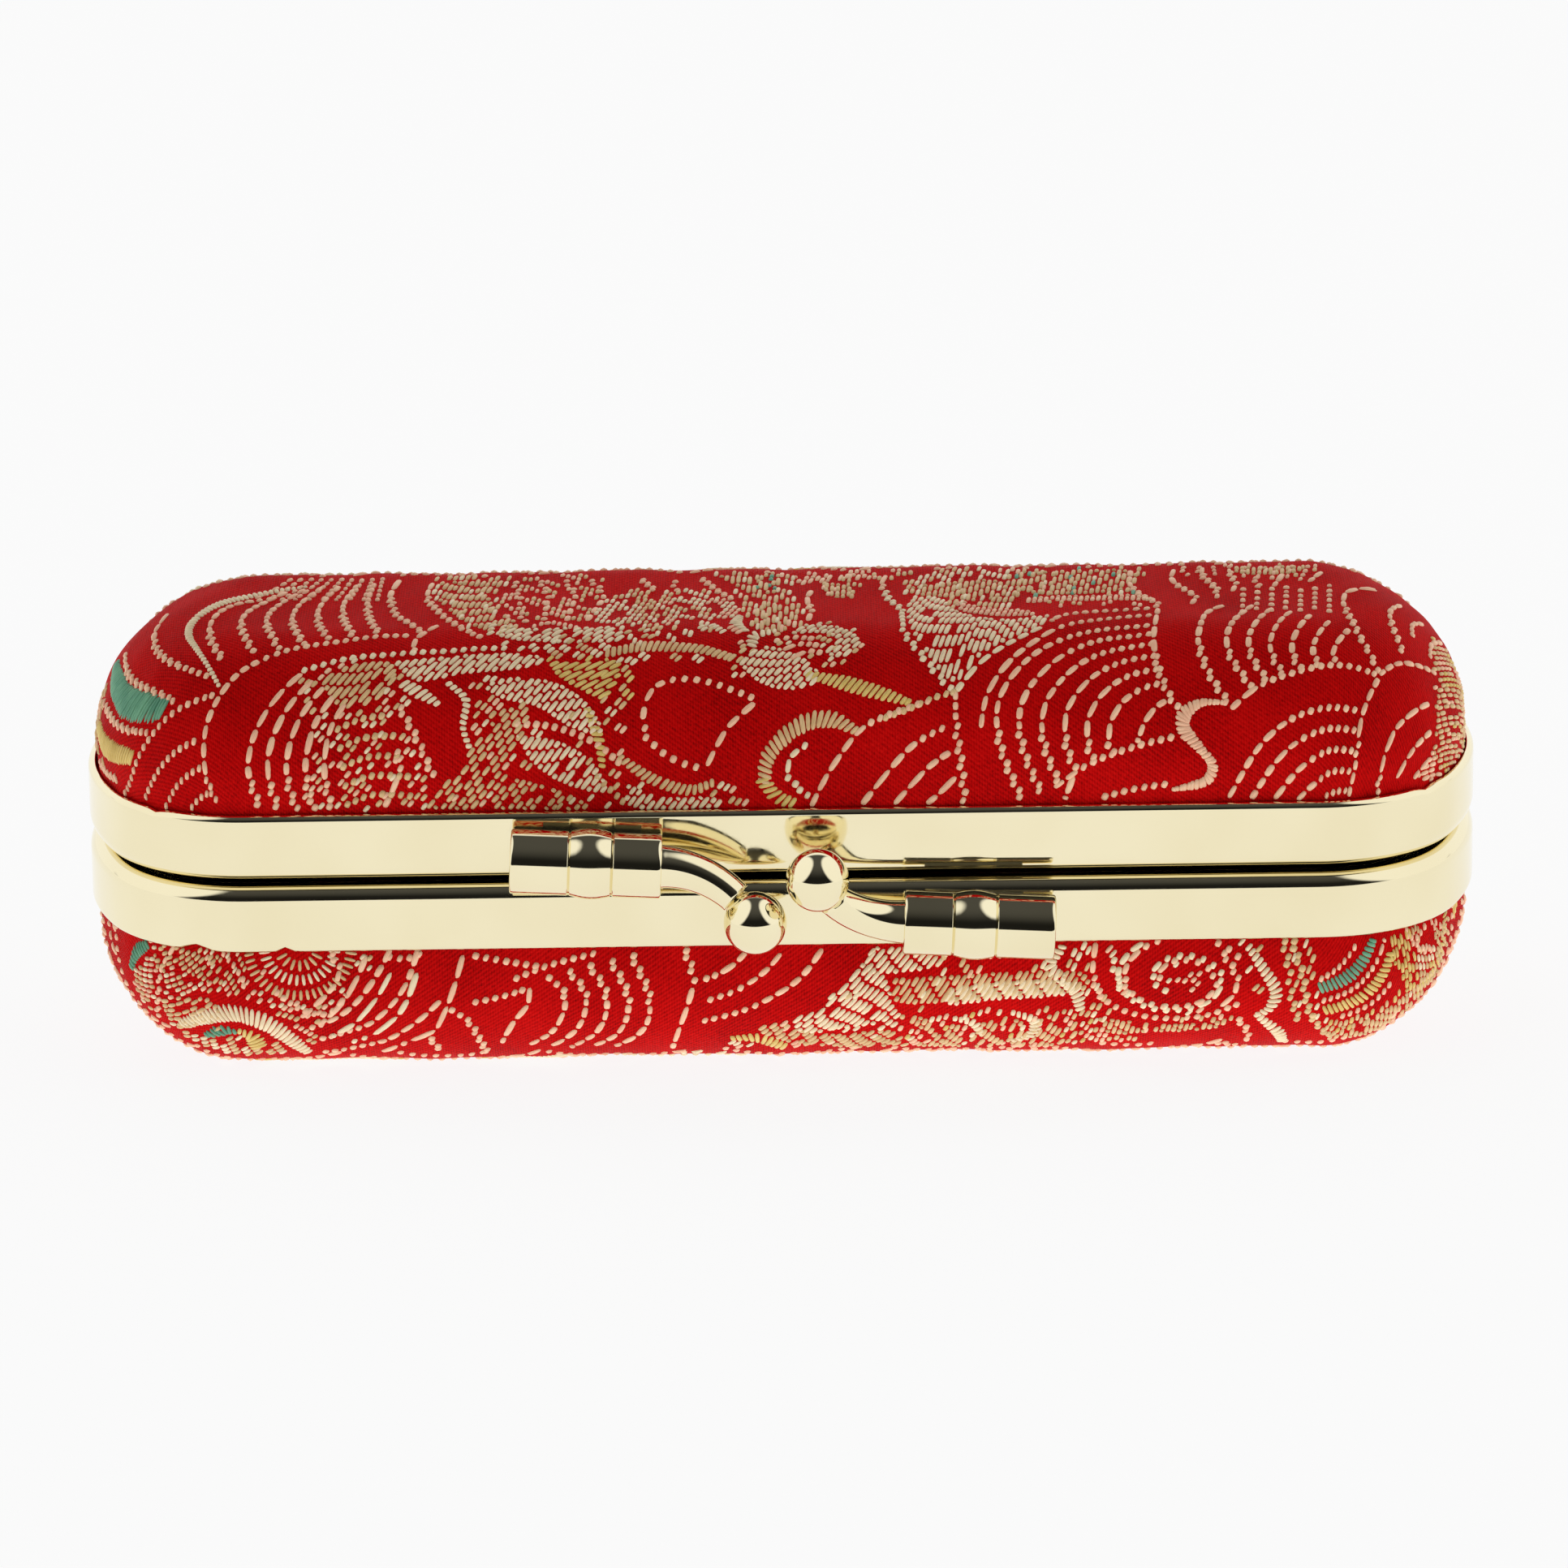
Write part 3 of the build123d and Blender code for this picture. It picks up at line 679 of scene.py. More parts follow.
# Motif tables for Stitching.draw. Points are x,y on the flat cloth from its middle; the front is negative y.
LID_MOTIFS = """
# Left wave scale and its bottom edge
row rose long=2.2: -252,54 -258,20 -256,0 -252,-28 -242,-50 -233,-68
row rose: -223,-53 -238,-78 -239,-92
row rose: -240,-72 -270,-76 -300,-83 -320,-89 -340,-100 -355,-112 -370,-132 -379,-150 -383,-175 -377,-198
arcs rose count=6: -326,30 -346,-5 -353,-32 -352,-60 -343,-93 | -269,47 -272,10 -271,-20 -267,-50 -262,-70
ribbon cream: -315,38 -335,30 -358,14 -374,-6 -386,-30 -388,-52 -382,-76 -374,-98 -366,-118 | 4 9 11 9 7 5 4
  3.5
row rose: -334,16 -356,2 -369,-20 -374,-46 -371,-74 -364,-94
row rose long=2.0: -406,15 -414,-20 -412,-50 -402,-78 -386,-98 -372,-109
row rose long=2.0: -440,-12 -439,-42 -432,-70 -418,-96 -398,-120
ribbon teal pitch=0.34: -452,-6 -451,-36 -447,-64 -438,-89 -422,-110 -409,-119 | 10 17 21 25 25 17
row rose: -468,-45 -460,-80 -446,-108 -426,-128
ribbon gold: -486,-40 -481,-75 -469,-104 -452,-128 | 12 16 16 12
row rose: -484,-131 -462,-137 -430,-131 -400,-126 -370,-124
row rose: -503,-60 -495,-90 -483,-114
row rose: -465,-161 -440,-158 -410,-153 -383,-152
row rose: -437,-181 -410,-173 -384,-170
row rose: -420,-199 -400,-191 -383,-188
# Second scale with the dense flower that fills it
arcs rose count=5 long=1.6: -310,-110 -326,-127 -340,-150 -346,-176 -338,-204 | -282,-132 -292,-150 -296,-168
  -296,-185 -292,-204
row cream: -312,-109 -285,-99 -255,-95 -210,-90 -175,-89
fill beige keep=0.9: -300,-116 -276,-103 -253,-102 -250,-116 -264,-132 -286,-136
fill cream length=1.6: -253,-102 -215,-96 -176,-94 -153,-100 -168,-109 -205,-112 -236,-118
cut: -259,-112 -264,-120 -254,-122
ribbon cream: -244,-120 -232,-128 -222,-135 | 9 11 5
ribbon cream: -215,-120 -204,-132 -206,-150 -202,-164 | 5 6 5 4
row rose long=1.0: -248,-135 -236,-158 -226,-182
arcs beige count=5 short=0.5: -290,-152 -272,-144 -254,-142 | -285,-202 -264,-194 -236,-196
row rose long=1.8: -250,-164 -248,-182 -258,-203
fill beige length=0.8 keep=0.82: -233,-204 -216,-186 -204,-168 -184,-146 -164,-134 -166,-154 -178,-174
  -194,-196 -202,-205
fill cream length=1.1: -195,-122 -174,-116 -146,-120 -124,-136 -116,-156 -136,-152 -158,-138 -180,-132
fill cream length=1.2 keep=0.9: -172,-156 -145,-160 -122,-174 -114,-194 -138,-190 -160,-176
row rose short=0.5: -174,-149 -148,-151 -122,-161 -104,-176
fill beige keep=0.8 length=0.7: -192,-205 -176,-186 -158,-188 -132,-198 -130,-206
# Flower stems rising over the top
row rose long=2.0: -230,46 -233,10 -224,-25 -210,-58 -196,-76
fill beige angle=80 length=1.6 gap=0.3 keep=0.75: -224,48 -226,10 -216,-26 -200,-58 -172,-80 -173,-50
  -188,-10 -192,20 -184,50
fill cream length=1.2 keep=0.92: -194,-50 -182,-76 -142,-84 -105,-84 -106,-66 -136,-64 -166,-62
arcs rose count=4 gap=0.5 long=1.4: -176,46 -172,10 -170,-30 -166,-56 | -126,48 -116,14 -120,-16 -126,-50
weave cream angle=78 length=0.8 holes=0.04: -106,-1 -119,-22 -121,-48 -112,-74 -96,-91 -89,-86 -102,-68
  -109,-46 -107,-24 -99,-5
weave beige,cream angle=78 length=0.8 holes=0.08: -91,4 -100,-24 -98,-49 -87,-70 -72,-86 -67,-80 -78,-64
  -86,-47 -88,-24 -83,0
weave cream,rose angle=74 length=0.7 holes=0.06: -79,-14 -74,-5 -54,0 -32,-8 -26,-32 -38,-51 -66,-50 -67,-60
  -77,-59 -73,-41 -58,-39 -44,-40 -37,-31 -40,-18 -54,-12
weave rose,cream holes=0.1: -58,-69 -46,-62 -30,-64 -22,-78 -40,-76
row rose long=2.4: -92,46 -82,18
row rose long=2.4: -70,44 -68,16
row rose long=2.4: -52,50 -42,22 -30,-4
fill gold angle=30 length=1.5: -152,-102 -126,-104 -106,-102 -103,-114 -114,-132 -126,-128 -144,-116
ribbon gold: -125,-140 -118,-160 -116,-178 | 5 8 5
ribbon beige: -112,-96 -86,-90 -56,-92 -30,-102 | 9 13 10 8
# Red petal in its ring
row rose gap=0.2: -88,-136 -82,-125 -68,-119 -50,-120 -30,-128 -16,-136 -32,-150 -42,-166 -49,-180
row rose gap=0.2: -88,-138 -89,-154 -78,-168 -64,-176 -50,-180
ribbon beige: -104,-172 -84,-186 -60,-194 -44,-189 | 6 9 9 6
fill cream keep=0.85: -100,-189 -76,-198 -44,-199 -38,-206 -96,-206
row beige short=0.5: -122,-182 -102,-202
# Flower with its centre, and the far stems behind it
fill cream length=0.9: -28,-106 -12,-92 4,-94 22,-108 24,-122 4,-128 -14,-122
ribbon cream: -18,-90 -16,-78 -2,-72 | 7 11 6
arcs rose count=3 short=0.45: -4,-86 8,-80 22,-83 | 6,-104 16,-96 28,-98
fill cream length=0.9: 6,-76 16,-64 32,-66 46,-74 53,-88 42,-102 30,-98 38,-86 26,-76
ribbon cream: -26,-44 -28,-60 -22,-72 | 6 10 6
fill beige angle=88 length=1.9 gap=0.25 keep=0.8: -39,52 -24,20 -14,-10 -16,-40 -12,-70 6,-70 14,-46 9,-16
  2,12 0,50
weave teal,beige angle=86 holes=0.25: -14,58 0,58 0,30 -4,8 -14,10
row rose long=2.4: 22,14 18,-10 21,-34 19,-56
fill beige angle=88 length=1.2: 32,34 46,26 48,4 40,-4 32,10
fill rose angle=80 keep=0.7: 10,52 55,52 65,40 36,38 16,30
ribbon gold: 19,-116 44,-124 64,-131 84,-138 | 7 12 12 6
row beige short=0.5: 66,-149 84,-142 102,-134 114,-131
# Crescent, loop and the lines that run to the right
ribbon beige: 48,-156 34,-149 18,-150 2,-160 -9,-174 -11,-190 | 7 13 13 12 11 9
ribbon gold: -12,-188 -2,-200 12,-205 | 10 11 8
row cream: 19,-164 9,-170 3,-180 10,-193 19,-200
row rose long=1.8: 99,-136 76,-144 54,-154 40,-170 28,-188 19,-207
row rose short=0.55 long=0.9: 114,-130 114,-155 117,-180 119,-206
arcs rose count=3 long=1.7: 108,-154 86,-166 68,-185 52,-206 | 114,-187 109,-192 102,-199 94,-206
# Large satin-filled scale on the right of the middle
row cream gap=0.15: 70,12 73,-10 80,-30 81,-60 83,-82 95,-106 112,-131
row cream gap=0.15: 114,-131 130,-110 150,-91 172,-72
fill cream angle=74 length=1.35 gap=0.1: 85,-14 85,-60 92,-92 112,-124 132,-102 156,-82 172,-68 176,-50
  154,-58 128,-50 114,-30 110,-10 100,0
cut: 96,-18 100,-50 114,-76 134,-98
cut: 130,-70 146,-86
cut: 94,-86 122,-108
fill rose angle=78 length=0.9: 116,-16 122,-38 144,-49 168,-50 156,-34 134,-28 124,-14
fill beige angle=84 length=1.5 keep=0.86: 86,16 110,30 146,30 150,0 132,-12 108,-2 90,2
row rose long=2.2: 72,48 68,30 70,12
fill beige angle=84 length=1.7 keep=0.72 gap=0.25: 152,53 233,54 232,10 214,0 174,-2 156,16
fill rose angle=84 keep=0.9: 162,-10 190,-7 236,-9 244,-20 196,-18 166,-22
# Scale with long arcs
row rose long=2.0: 235,54 233,15 240,-10 249,-30 247,-60 244,-90 246,-114 252,-134 259,-146
row rose short=0.6: 245,-40 215,-42 186,-52 178,-64
row rose long=1.6: 246,-54 215,-59 186,-72 166,-90 148,-110 134,-134 130,-156
arcs rose count=6: 244,-71 204,-79 174,-95 154,-116 141,-140 143,-170 157,-205 | 249,-126 236,-130 224,-138
  216,-148 213,-158 213,-168 216,-174
row rose: 252,-138 239,-148 231,-167
row rose: 256,-163 230,-169 200,-180 175,-197
ribbon rose pitch=0.26: 289,-141 273,-141 262,-149 262,-159 271,-170 280,-182 275,-193 254,-198 | 3 6 11 10 6
  8 7 3
row rose: 252,-194 230,-197 208,-203
row rose: 190,-187 184,-204
# Upper right scale
row rose: 294,-30 282,-45 276,-70 273,-95 279,-120 291,-142
arcs rose count=6: 312,-32 300,-60 292,-86 293,-106 306,-131 | 373,-76 366,-90 361,-101 360,-106 362,-112
row rose long=2.0: 398,16 382,3 373,-12 372,-40 376,-65 381,-84 394,-111
row rose: 292,-146 310,-130 335,-120 362,-114 392,-113
"""
LID_RIGHT_MOTIFS = """
row rose long=2.0: 264,54 261,30 268,8 275,-10 271,-30
row rose long=2.0: 283,56 282,36 290,6 289,-14
row rose long=2.0: 300,44 303,18 300,0
fill beige angle=86: 302,56 346,56 344,42 324,38 306,42
row rose long=2.0: 316,34 318,10
row rose long=2.0: 336,40 328,12
row rose long=2.0: 362,42 352,20
# Lower right scale
row rose long=1.4: 395,-114 387,-135 382,-156 383,-180 381,-202
arcs rose count=5: 381,-144 350,-146 329,-154 309,-172 290,-205 | 381,-198 372,-199 364,-201 356,-204
  350,-207
# Right end
row rose long=1.2: 395,-112 408,-94 425,-80 444,-66
row rose: 414,2 404,-24 404,-50 413,-82
row rose: 432,-5 421,-26 420,-48
row rose: 450,-5 438,-32 437,-54
row rose long=1.8: 442,-103 426,-126 412,-150 409,-175 413,-196
row rose long=1.8: 451,-120 436,-148 430,-170 428,-190
row rose long=1.6: 460,-138 450,-160 443,-180
fill beige angle=58 length=1.1 keep=0.62 gap=0.3: 448,-80 466,-50 484,-20 506,-40 496,-90 474,-126 459,-126
fill rose angle=50 keep=0.7: 460,-130 476,-124 496,-94 494,-120 470,-152 454,-160
# Fine upright rows toward the back of the flat
arcs rose count=10 gap=0.3 long=0.8 width=0.36: -324,58 -334,36 -348,12 | -264,58 -265,30 -266,4
arcs rose count=9 gap=0.35 long=0.8 width=0.36: 269,58 272,36 | 354,58 346,24
# What is left open in the flower and its neighbours
weave cream,beige,cream angle=82 length=1.2 holes=0.12: -232,58 -232,10 -220,-30 -202,-66 -194,-46 -184,-20
  -186,20 -178,58
weave cream,cream,beige holes=0.1: -204,-62 -192,-54 -172,-58 -150,-73 -124,-72 -102,-82 -96,-100 -128,-102
  -156,-98 -182,-86
weave rose,beige,rose angle=84 length=0.8 holes=0.5 grain=2.2: -182,58 -184,-10 -176,-56 -140,-68 -120,-60
  -116,-10 -122,58
weave beige,cream,beige angle=80 length=0.9 holes=0.36: -120,16 -86,22 -46,16 -26,-16 -28,-50 -48,-76 -80,-78
  -106,-56 -122,-20
weave cream,beige holes=0.1: -110,-82 -90,-68 -74,-80 -50,-86 -26,-94 -22,-108 -54,-106 -84,-104 -106,-112
weave beige,cream,rose,beige holes=0.26 grain=1.3 length=0.6: -314,-114 -284,-98 -240,-99 -234,-122 -244,-146
  -238,-170 -226,-204 -310,-205 -304,-160
weave cream,beige,rose,beige holes=0.38 grain=1.4 length=0.65: -216,-120 -180,-114 -150,-120 -114,-130
  -100,-154 -104,-178 -80,-190 -40,-190 -34,-207 -222,-207 -208,-176 -206,-146
weave gold,beige holes=0.15: -156,-98 -126,-100 -100,-98 -96,-128 -106,-140 -130,-126
weave cream,beige,rose holes=0.3 grain=1.0 length=0.55: -34,-98 -16,-76 6,-74 20,-60 40,-62 56,-86 44,-106
  26,-124 -6,-130 -30,-120
weave beige,cream,beige,rose angle=86 length=1.2 holes=0.3 grain=2.4: -46,58 -30,16 -24,-40 -26,-70 12,-70
  16,-30 10,12 16,58
weave beige,rose angle=86 length=0.9 holes=0.42: 16,59 26,30 32,0 46,-8 56,20 84,44 84,59
weave beige,cream,beige angle=80 length=1.2 holes=0.16: 82,34 106,56 150,56 156,16 156,-10 148,-34 120,-46
  110,-26 86,-12
weave beige,cream,teal,beige,rose angle=84 length=1.1 holes=0.26 grain=2.4: 146,59 240,59 234,10 242,-16
  200,-4 160,-10 150,20
weave rose,beige angle=84 length=0.7 holes=0.5: 168,-14 244,-12 246,-34 200,-30 174,-40
weave rose,beige,gold angle=60 length=0.75 holes=0.15: 438,-20 460,-6 490,-10 510,-40 504,-96 480,-144
  456,-170 460,-128 442,-80
weave beige,rose angle=84 length=0.8 holes=0.3: 296,60 356,60 350,36 314,32
weave rose,beige length=0.8 holes=0.4: -506,-30 -492,0 -468,-6 -468,-40 -488,-44 -496,-80
"""
BASE_LEFT_MOTIFS = """
# Left end, half wheel and the radial band
ribbon teal: -460,-155 -466,-136 -462,-118 | 8 14 8
row rose: -430,-186 -436,-160 -429,-134 -424,-110
fill beige keep=0.68 length=0.8: -454,-166 -436,-182 -404,-194 -380,-200 -364,-186 -386,-178 -416,-174
  -440,-154
fill beige keep=0.8 length=0.9: -426,-134 -414,-150 -386,-166 -374,-154 -394,-136 -410,-118
row rose: -380,-204 -362,-194 -352,-180
"""
BASE_MOTIFS = """
ribbon cream: -404,-128 -388,-148 -364,-160 -342,-154 -326,-136 -314,-114 | 10 15 16 16 15 10
ribbon teal: -384,-130 -372,-142 -362,-143 | 6 12 6
ribbon gold: -359,-144 -350,-138 -346,-124 | 6 15 14
row rose short=0.5: -334,-180 -316,-164 -298,-160 -286,-176
# Long arcs
row rose long=2.0: -272,-204 -281,-182 -294,-162 -306,-150
row cream long=2.4: -256,-192 -270,-166 -284,-149 -298,-138
row cream long=2.4: -239,-192 -250,-162 -266,-142 -284,-131
row rose: -234,-205 -246,-200 -260,-202
row rose long=2.2: -209,-203 -216,-178 -223,-158 -232,-138 -252,-126 -266,-112
row rose: -234,-136 -226,-116
row rose: -220,-163 -207,-151 -200,-130 -196,-110
row rose: -204,-202 -184,-198 -158,-193
row rose: -206,-167 -188,-171 -170,-177
row rose long=1.8: -166,-180 -168,-164 -180,-146 -186,-126
arcs rose count=5: -156,-188 -143,-172 -150,-144 -170,-120 | -100,-203 -88,-170 -93,-139 -112,-118
row rose: -178,-184 -154,-194 -120,-203
# Fan beside the clasp
row rose long=2.0: -65,-205 -59,-184 -64,-160 -71,-134 -74,-114
row rose short=0.5: -24,-202 -36,-190 -54,-182
row rose short=0.6: -1,-201 -14,-186 -32,-174 -52,-166
row rose short=0.6 long=1.4: 26,-204 12,-184 -8,-168 -30,-156 -54,-149
# Satin motif right of the clasp
fill cream length=1.2: 54,-194 40,-178 24,-160 6,-148 12,-134 34,-138 60,-144 70,-164 66,-184
cut: 32,-160 46,-154 66,-158
fill beige length=1.0 keep=0.8: 2,-144 -16,-134 10,-120 46,-110 76,-116 72,-136 40,-132 16,-136
fill cream length=1.2: 60,-204 104,-202 98,-189 54,-186
fill beige angle=60 length=1.5: 72,-182 114,-184 166,-186 196,-184 194,-170 146,-166 92,-162 72,-164
fill cream angle=60 length=1.3: 110,-176 146,-179 186,-178 184,-167 134,-163 106,-161
row beige: 106,-204 104,-192
row rose short=0.5: 114,-202 138,-197 164,-203
fill beige angle=70 length=1.1 keep=0.66: 72,-152 96,-130 92,-110 140,-106 180,-110 196,-132 186,-154
  174,-150 160,-142 144,-150 124,-140 100,-146 86,-152
ribbon cream: 112,-148 124,-142 130,-128 | 5 9 5
ribbon cream: 150,-152 164,-144 162,-128 150,-120 | 5 9 9 5
ribbon cream: 182,-202 174,-188 190,-172 194,-154 | 6 10 12 7
ribbon gold: -34,-128 -16,-126 0,-114 | 6 14 14
# Spiral
"""
BASE_RIGHT_MOTIFS = """
row cream width=0.5 short=0.8: 214,-196 220,-174 236,-160 254,-156
row rose short=0.6: 204,-206 202,-180 212,-160 234,-148 270,-146 298,-158
fill beige angle=78 length=0.9 keep=0.85: 206,-146 246,-140 280,-140 298,-150 280,-132 242,-130 214,-128
ribbon cream: 304,-200 314,-184 322,-168 318,-154 310,-148 | 6 8 10 9 5
ribbon cream: 310,-148 324,-128 328,-110 | 6 11 8
row rose: 286,-198 296,-180 294,-164 284,-154
row rose: 296,-146 304,-130 304,-110
# Outlined tail with teal crescent
row beige width=0.5: 332,-206 339,-180 342,-160 347,-142 360,-116
row beige short=0.6: 326,-206 330,-186 332,-164 338,-140
row rose short=0.5: 350,-176 370,-184 390,-195 400,-204
ribbon teal: 352,-170 372,-173 392,-180 408,-190 | 10 13 13 9
row rose short=0.5: 352,-159 378,-163 402,-172 420,-184
ribbon gold: 356,-150 380,-152 404,-159 422,-170 | 10 12 13 12
row rose short=0.5: 366,-141 390,-143 414,-149
fill gold angle=74 length=0.9 keep=0.82: 416,-174 436,-186 450,-174 444,-150 438,-122 424,-124 424,-150
fill beige angle=80 length=1.0 keep=0.7: 368,-130 414,-126 446,-116 480,-118 484,-90 420,-96 372,-110
row rose width=0.5: 448,-156 462,-150 476,-148
row rose: 444,-172 450,-144 460,-126
row rose: -296,-206 -290,-190 -302,-172 -318,-156
row rose: -256,-208 -262,-196 -276,-174 -294,-156 -314,-146
row rose: -238,-208 -248,-180 -268,-154 -290,-142 -308,-134
row rose: -224,-170 -240,-152 -262,-132 -286,-122 -306,-114
weave beige,cream,rose length=0.5 holes=0.3 grain=1.0: -366,-208 -356,-178 -330,-164 -300,-166 -276,-184
  -268,-208 -296,-206 -316,-176 -338,-206
# What is left open between the lines
weave beige,rose,cream,beige length=0.65 holes=0.14 grain=1.4: -460,-162 -436,-188 -404,-202 -376,-207
  -356,-198 -354,-176 -388,-170 -414,-150 -426,-112 -456,-112
weave cream,beige length=0.8 holes=0.22: -416,-112 -404,-130 -374,-150 -346,-144 -320,-112
weave rose,beige length=0.55 holes=0.15 grain=1.2: -354,-174 -324,-176 -300,-166 -306,-146 -316,-114
  -328,-142 -344,-162
weave beige,cream,rose length=0.8 holes=0.16: -40,-112 -34,-132 -4,-146 14,-148 46,-134 76,-128 90,-112
weave cream,beige holes=0.1: 6,-148 26,-164 44,-184 58,-205 74,-204 74,-170 72,-140 36,-136
weave cream,beige,rose angle=62 holes=0.2: 72,-206 120,-206 124,-190 198,-188 198,-166 120,-159 72,-158
weave beige,cream,rose,gold angle=70 length=0.65 holes=0.36 grain=1.3: 74,-150 120,-154 160,-156 194,-158
  202,-132 194,-112 86,-112
weave cream,beige angle=66 holes=0.14: 174,-207 200,-207 206,-180 214,-156 206,-136 192,-146 188,-174
weave cream,rose holes=0.12: 210,-200 218,-202 226,-176 244,-162 270,-156 268,-148 236,-152 216,-168
weave rose,cream length=0.5 holes=0.5: 244,-190 258,-196 272,-182 266,-168 252,-169 250,-176
weave cream,beige holes=0.2: 288,-206 306,-206 322,-180 326,-160 316,-148 308,-164 300,-186
weave beige,rose,beige angle=76 length=0.65 holes=0.28: 206,-146 248,-142 296,-148 286,-134 242,-128 226,-112
  204,-112
weave beige,cream angle=70 holes=0.12: 328,-207 344,-207 349,-170 354,-144 370,-112 356,-112 340,-142
  332,-174
weave gold,beige,cream angle=74 length=0.7 holes=0.24: 358,-136 416,-136 422,-172 408,-196 430,-194 456,-176
  450,-140 464,-112 372,-112
weave rose,beige length=0.6 holes=0.4: 450,-170 466,-158 480,-130 482,-112 464,-114 452,-140
"""


def lid_design():
    """The lid's woven design on the flat cloth: wave scales round satin-filled flowers."""
    s = Stitching(1)
    s.draw(LID_MOTIFS)
    for x in np.arange(30.4, 37, 0.95):  # short upright rows in the upper right scale
        s.row("rose", [(x, -5.2 + 0.5 * (x % 2)), (x + 0.25, -1.2), (x + 0.4, 1.2)], gap=0.55, long=0.9)
    s.draw(LID_RIGHT_MOTIFS)
    scale_fans(s, 6.2, 21.0)
    return s


def base_design():
    """The base's design: only its front and lower edge show in the usual view."""
    s = Stitching(-1)
    s.draw(BASE_LEFT_MOTIFS)
    hub, spoke_half, spoke_width, spoke_height = np.array([-31.6, -20.9]), 0.42, 0.26, 0.1
    for radius, name in ((1.3, "beige"), (2.3, "cream"), (3.4, "beige")):  # the half wheel
        for a in np.linspace(math.radians(8), math.radians(172), int(radius * 7)):
            c = np.array([math.cos(a), math.sin(a)])
            ends = [hub + c * (radius - spoke_half), hub + c * (radius + spoke_half)]
            s.stitch(*ends, spoke_width, spoke_height, name)
    s.draw(BASE_MOTIFS)
    for start, name in ((0.0, "cream"), (1.15, "rose")):  # the spiral
        turns = np.linspace(0.3, 1.75, 26)
        spiral = [(25.8 + (0.55 + 2.0 * t) * math.cos(2 * math.pi * t + start) * 1.12,
                   -17.8 + (0.55 + 1.55 * t) * math.sin(2 * math.pi * t + start)) for t in turns]
        s.row(name, spiral, short=0.7, long=1.2)
    s.draw(BASE_RIGHT_MOTIFS)
    scale_fans(s, -11.2, 21.0)
    return s


def scale_fans(s, low_y, high_y):
    """Overlapping wave scales over the rest of the cloth, nearer ones covering those behind."""
    radius, column, level = 7.4, 11.6, 4.9
    half_turn, margin = 1.75, 0.35  # half the sweep of a scale, and the open edge round the one in front
    fans = []
    for r in range(int((high_y - low_y) / level) + 3):
        for c in range(-5, 6):
            x = (c + 0.5 * (r % 2)) * column + rng.uniform(-0.9, 0.9)
            y = low_y + (r - 1) * level + rng.uniform(-0.6, 0.6)
            fans.append((x, y, radius * rng.uniform(0.93, 1.1), rng.uniform(-0.16, 0.16), rng.random()))
    placed = []
    for x, y, size, tilt, kind in sorted(fans, key=lambda fan: fan[1]):
        before = len(s.rows)
        middle = math.pi / 2 + tilt

        def spoke(a):
            return np.array([math.cos(middle + a), math.sin(middle + a) * FAN_SQUASH])

        def ring(reach):
            return [(x + reach * math.cos(middle + a), y + reach * math.sin(middle + a) * FAN_SQUASH)
                    for a in np.linspace(-half_turn, half_turn, 30)]

        s.row("rose", ring(size), gap=0.2, short=0.6, long=1.5)
        if kind < 0.2:
            for reach, name in ((size - 2.4, "gold"), (size - 4.4, "cream")):
                for a in np.arange(-1.7, 1.7, 0.42 / reach):
                    ends = [np.array([x, y]) + spoke(a) * (reach + end) for end in (-0.75, 0.75)]
                    s.stitch(*ends, 0.3, SPOKE_HEIGHT, name)
            s.row("rose", ring(size - 3.4), short=0.5)
        elif kind < 0.3 and y > low_y + 7:  # not where the photo's view still sees the cloth
            s.ribbon("teal", ring(size - 2.4)[6:24], [0.3, 1.5, 1.7, 1.5, 0.3])
            s.row("rose", ring(size - 3.7), short=0.55)
            s.row("beige", ring(size - 4.9), short=0.55)
        else:
            for reach in np.arange(size - 2.3, 1.0, -1.65):
                s.row("rose" if kind < 0.75 else "cream", ring(reach), gap=0.2, short=0.6, long=1.4)
        kept = []
        for stitch in s.rows[before:]:
            mx, my = (stitch[0] + stitch[2]) / 2, (stitch[1] + stitch[3]) / 2
            hidden = any(math.hypot(mx - px, (my - py) / FAN_SQUASH) < ps + margin for px, py, ps in placed)
            if not hidden and low_y <= my <= high_y:
                kept.append(stitch)
        s.rows[before:] = kept
        placed.append((x, y, size))


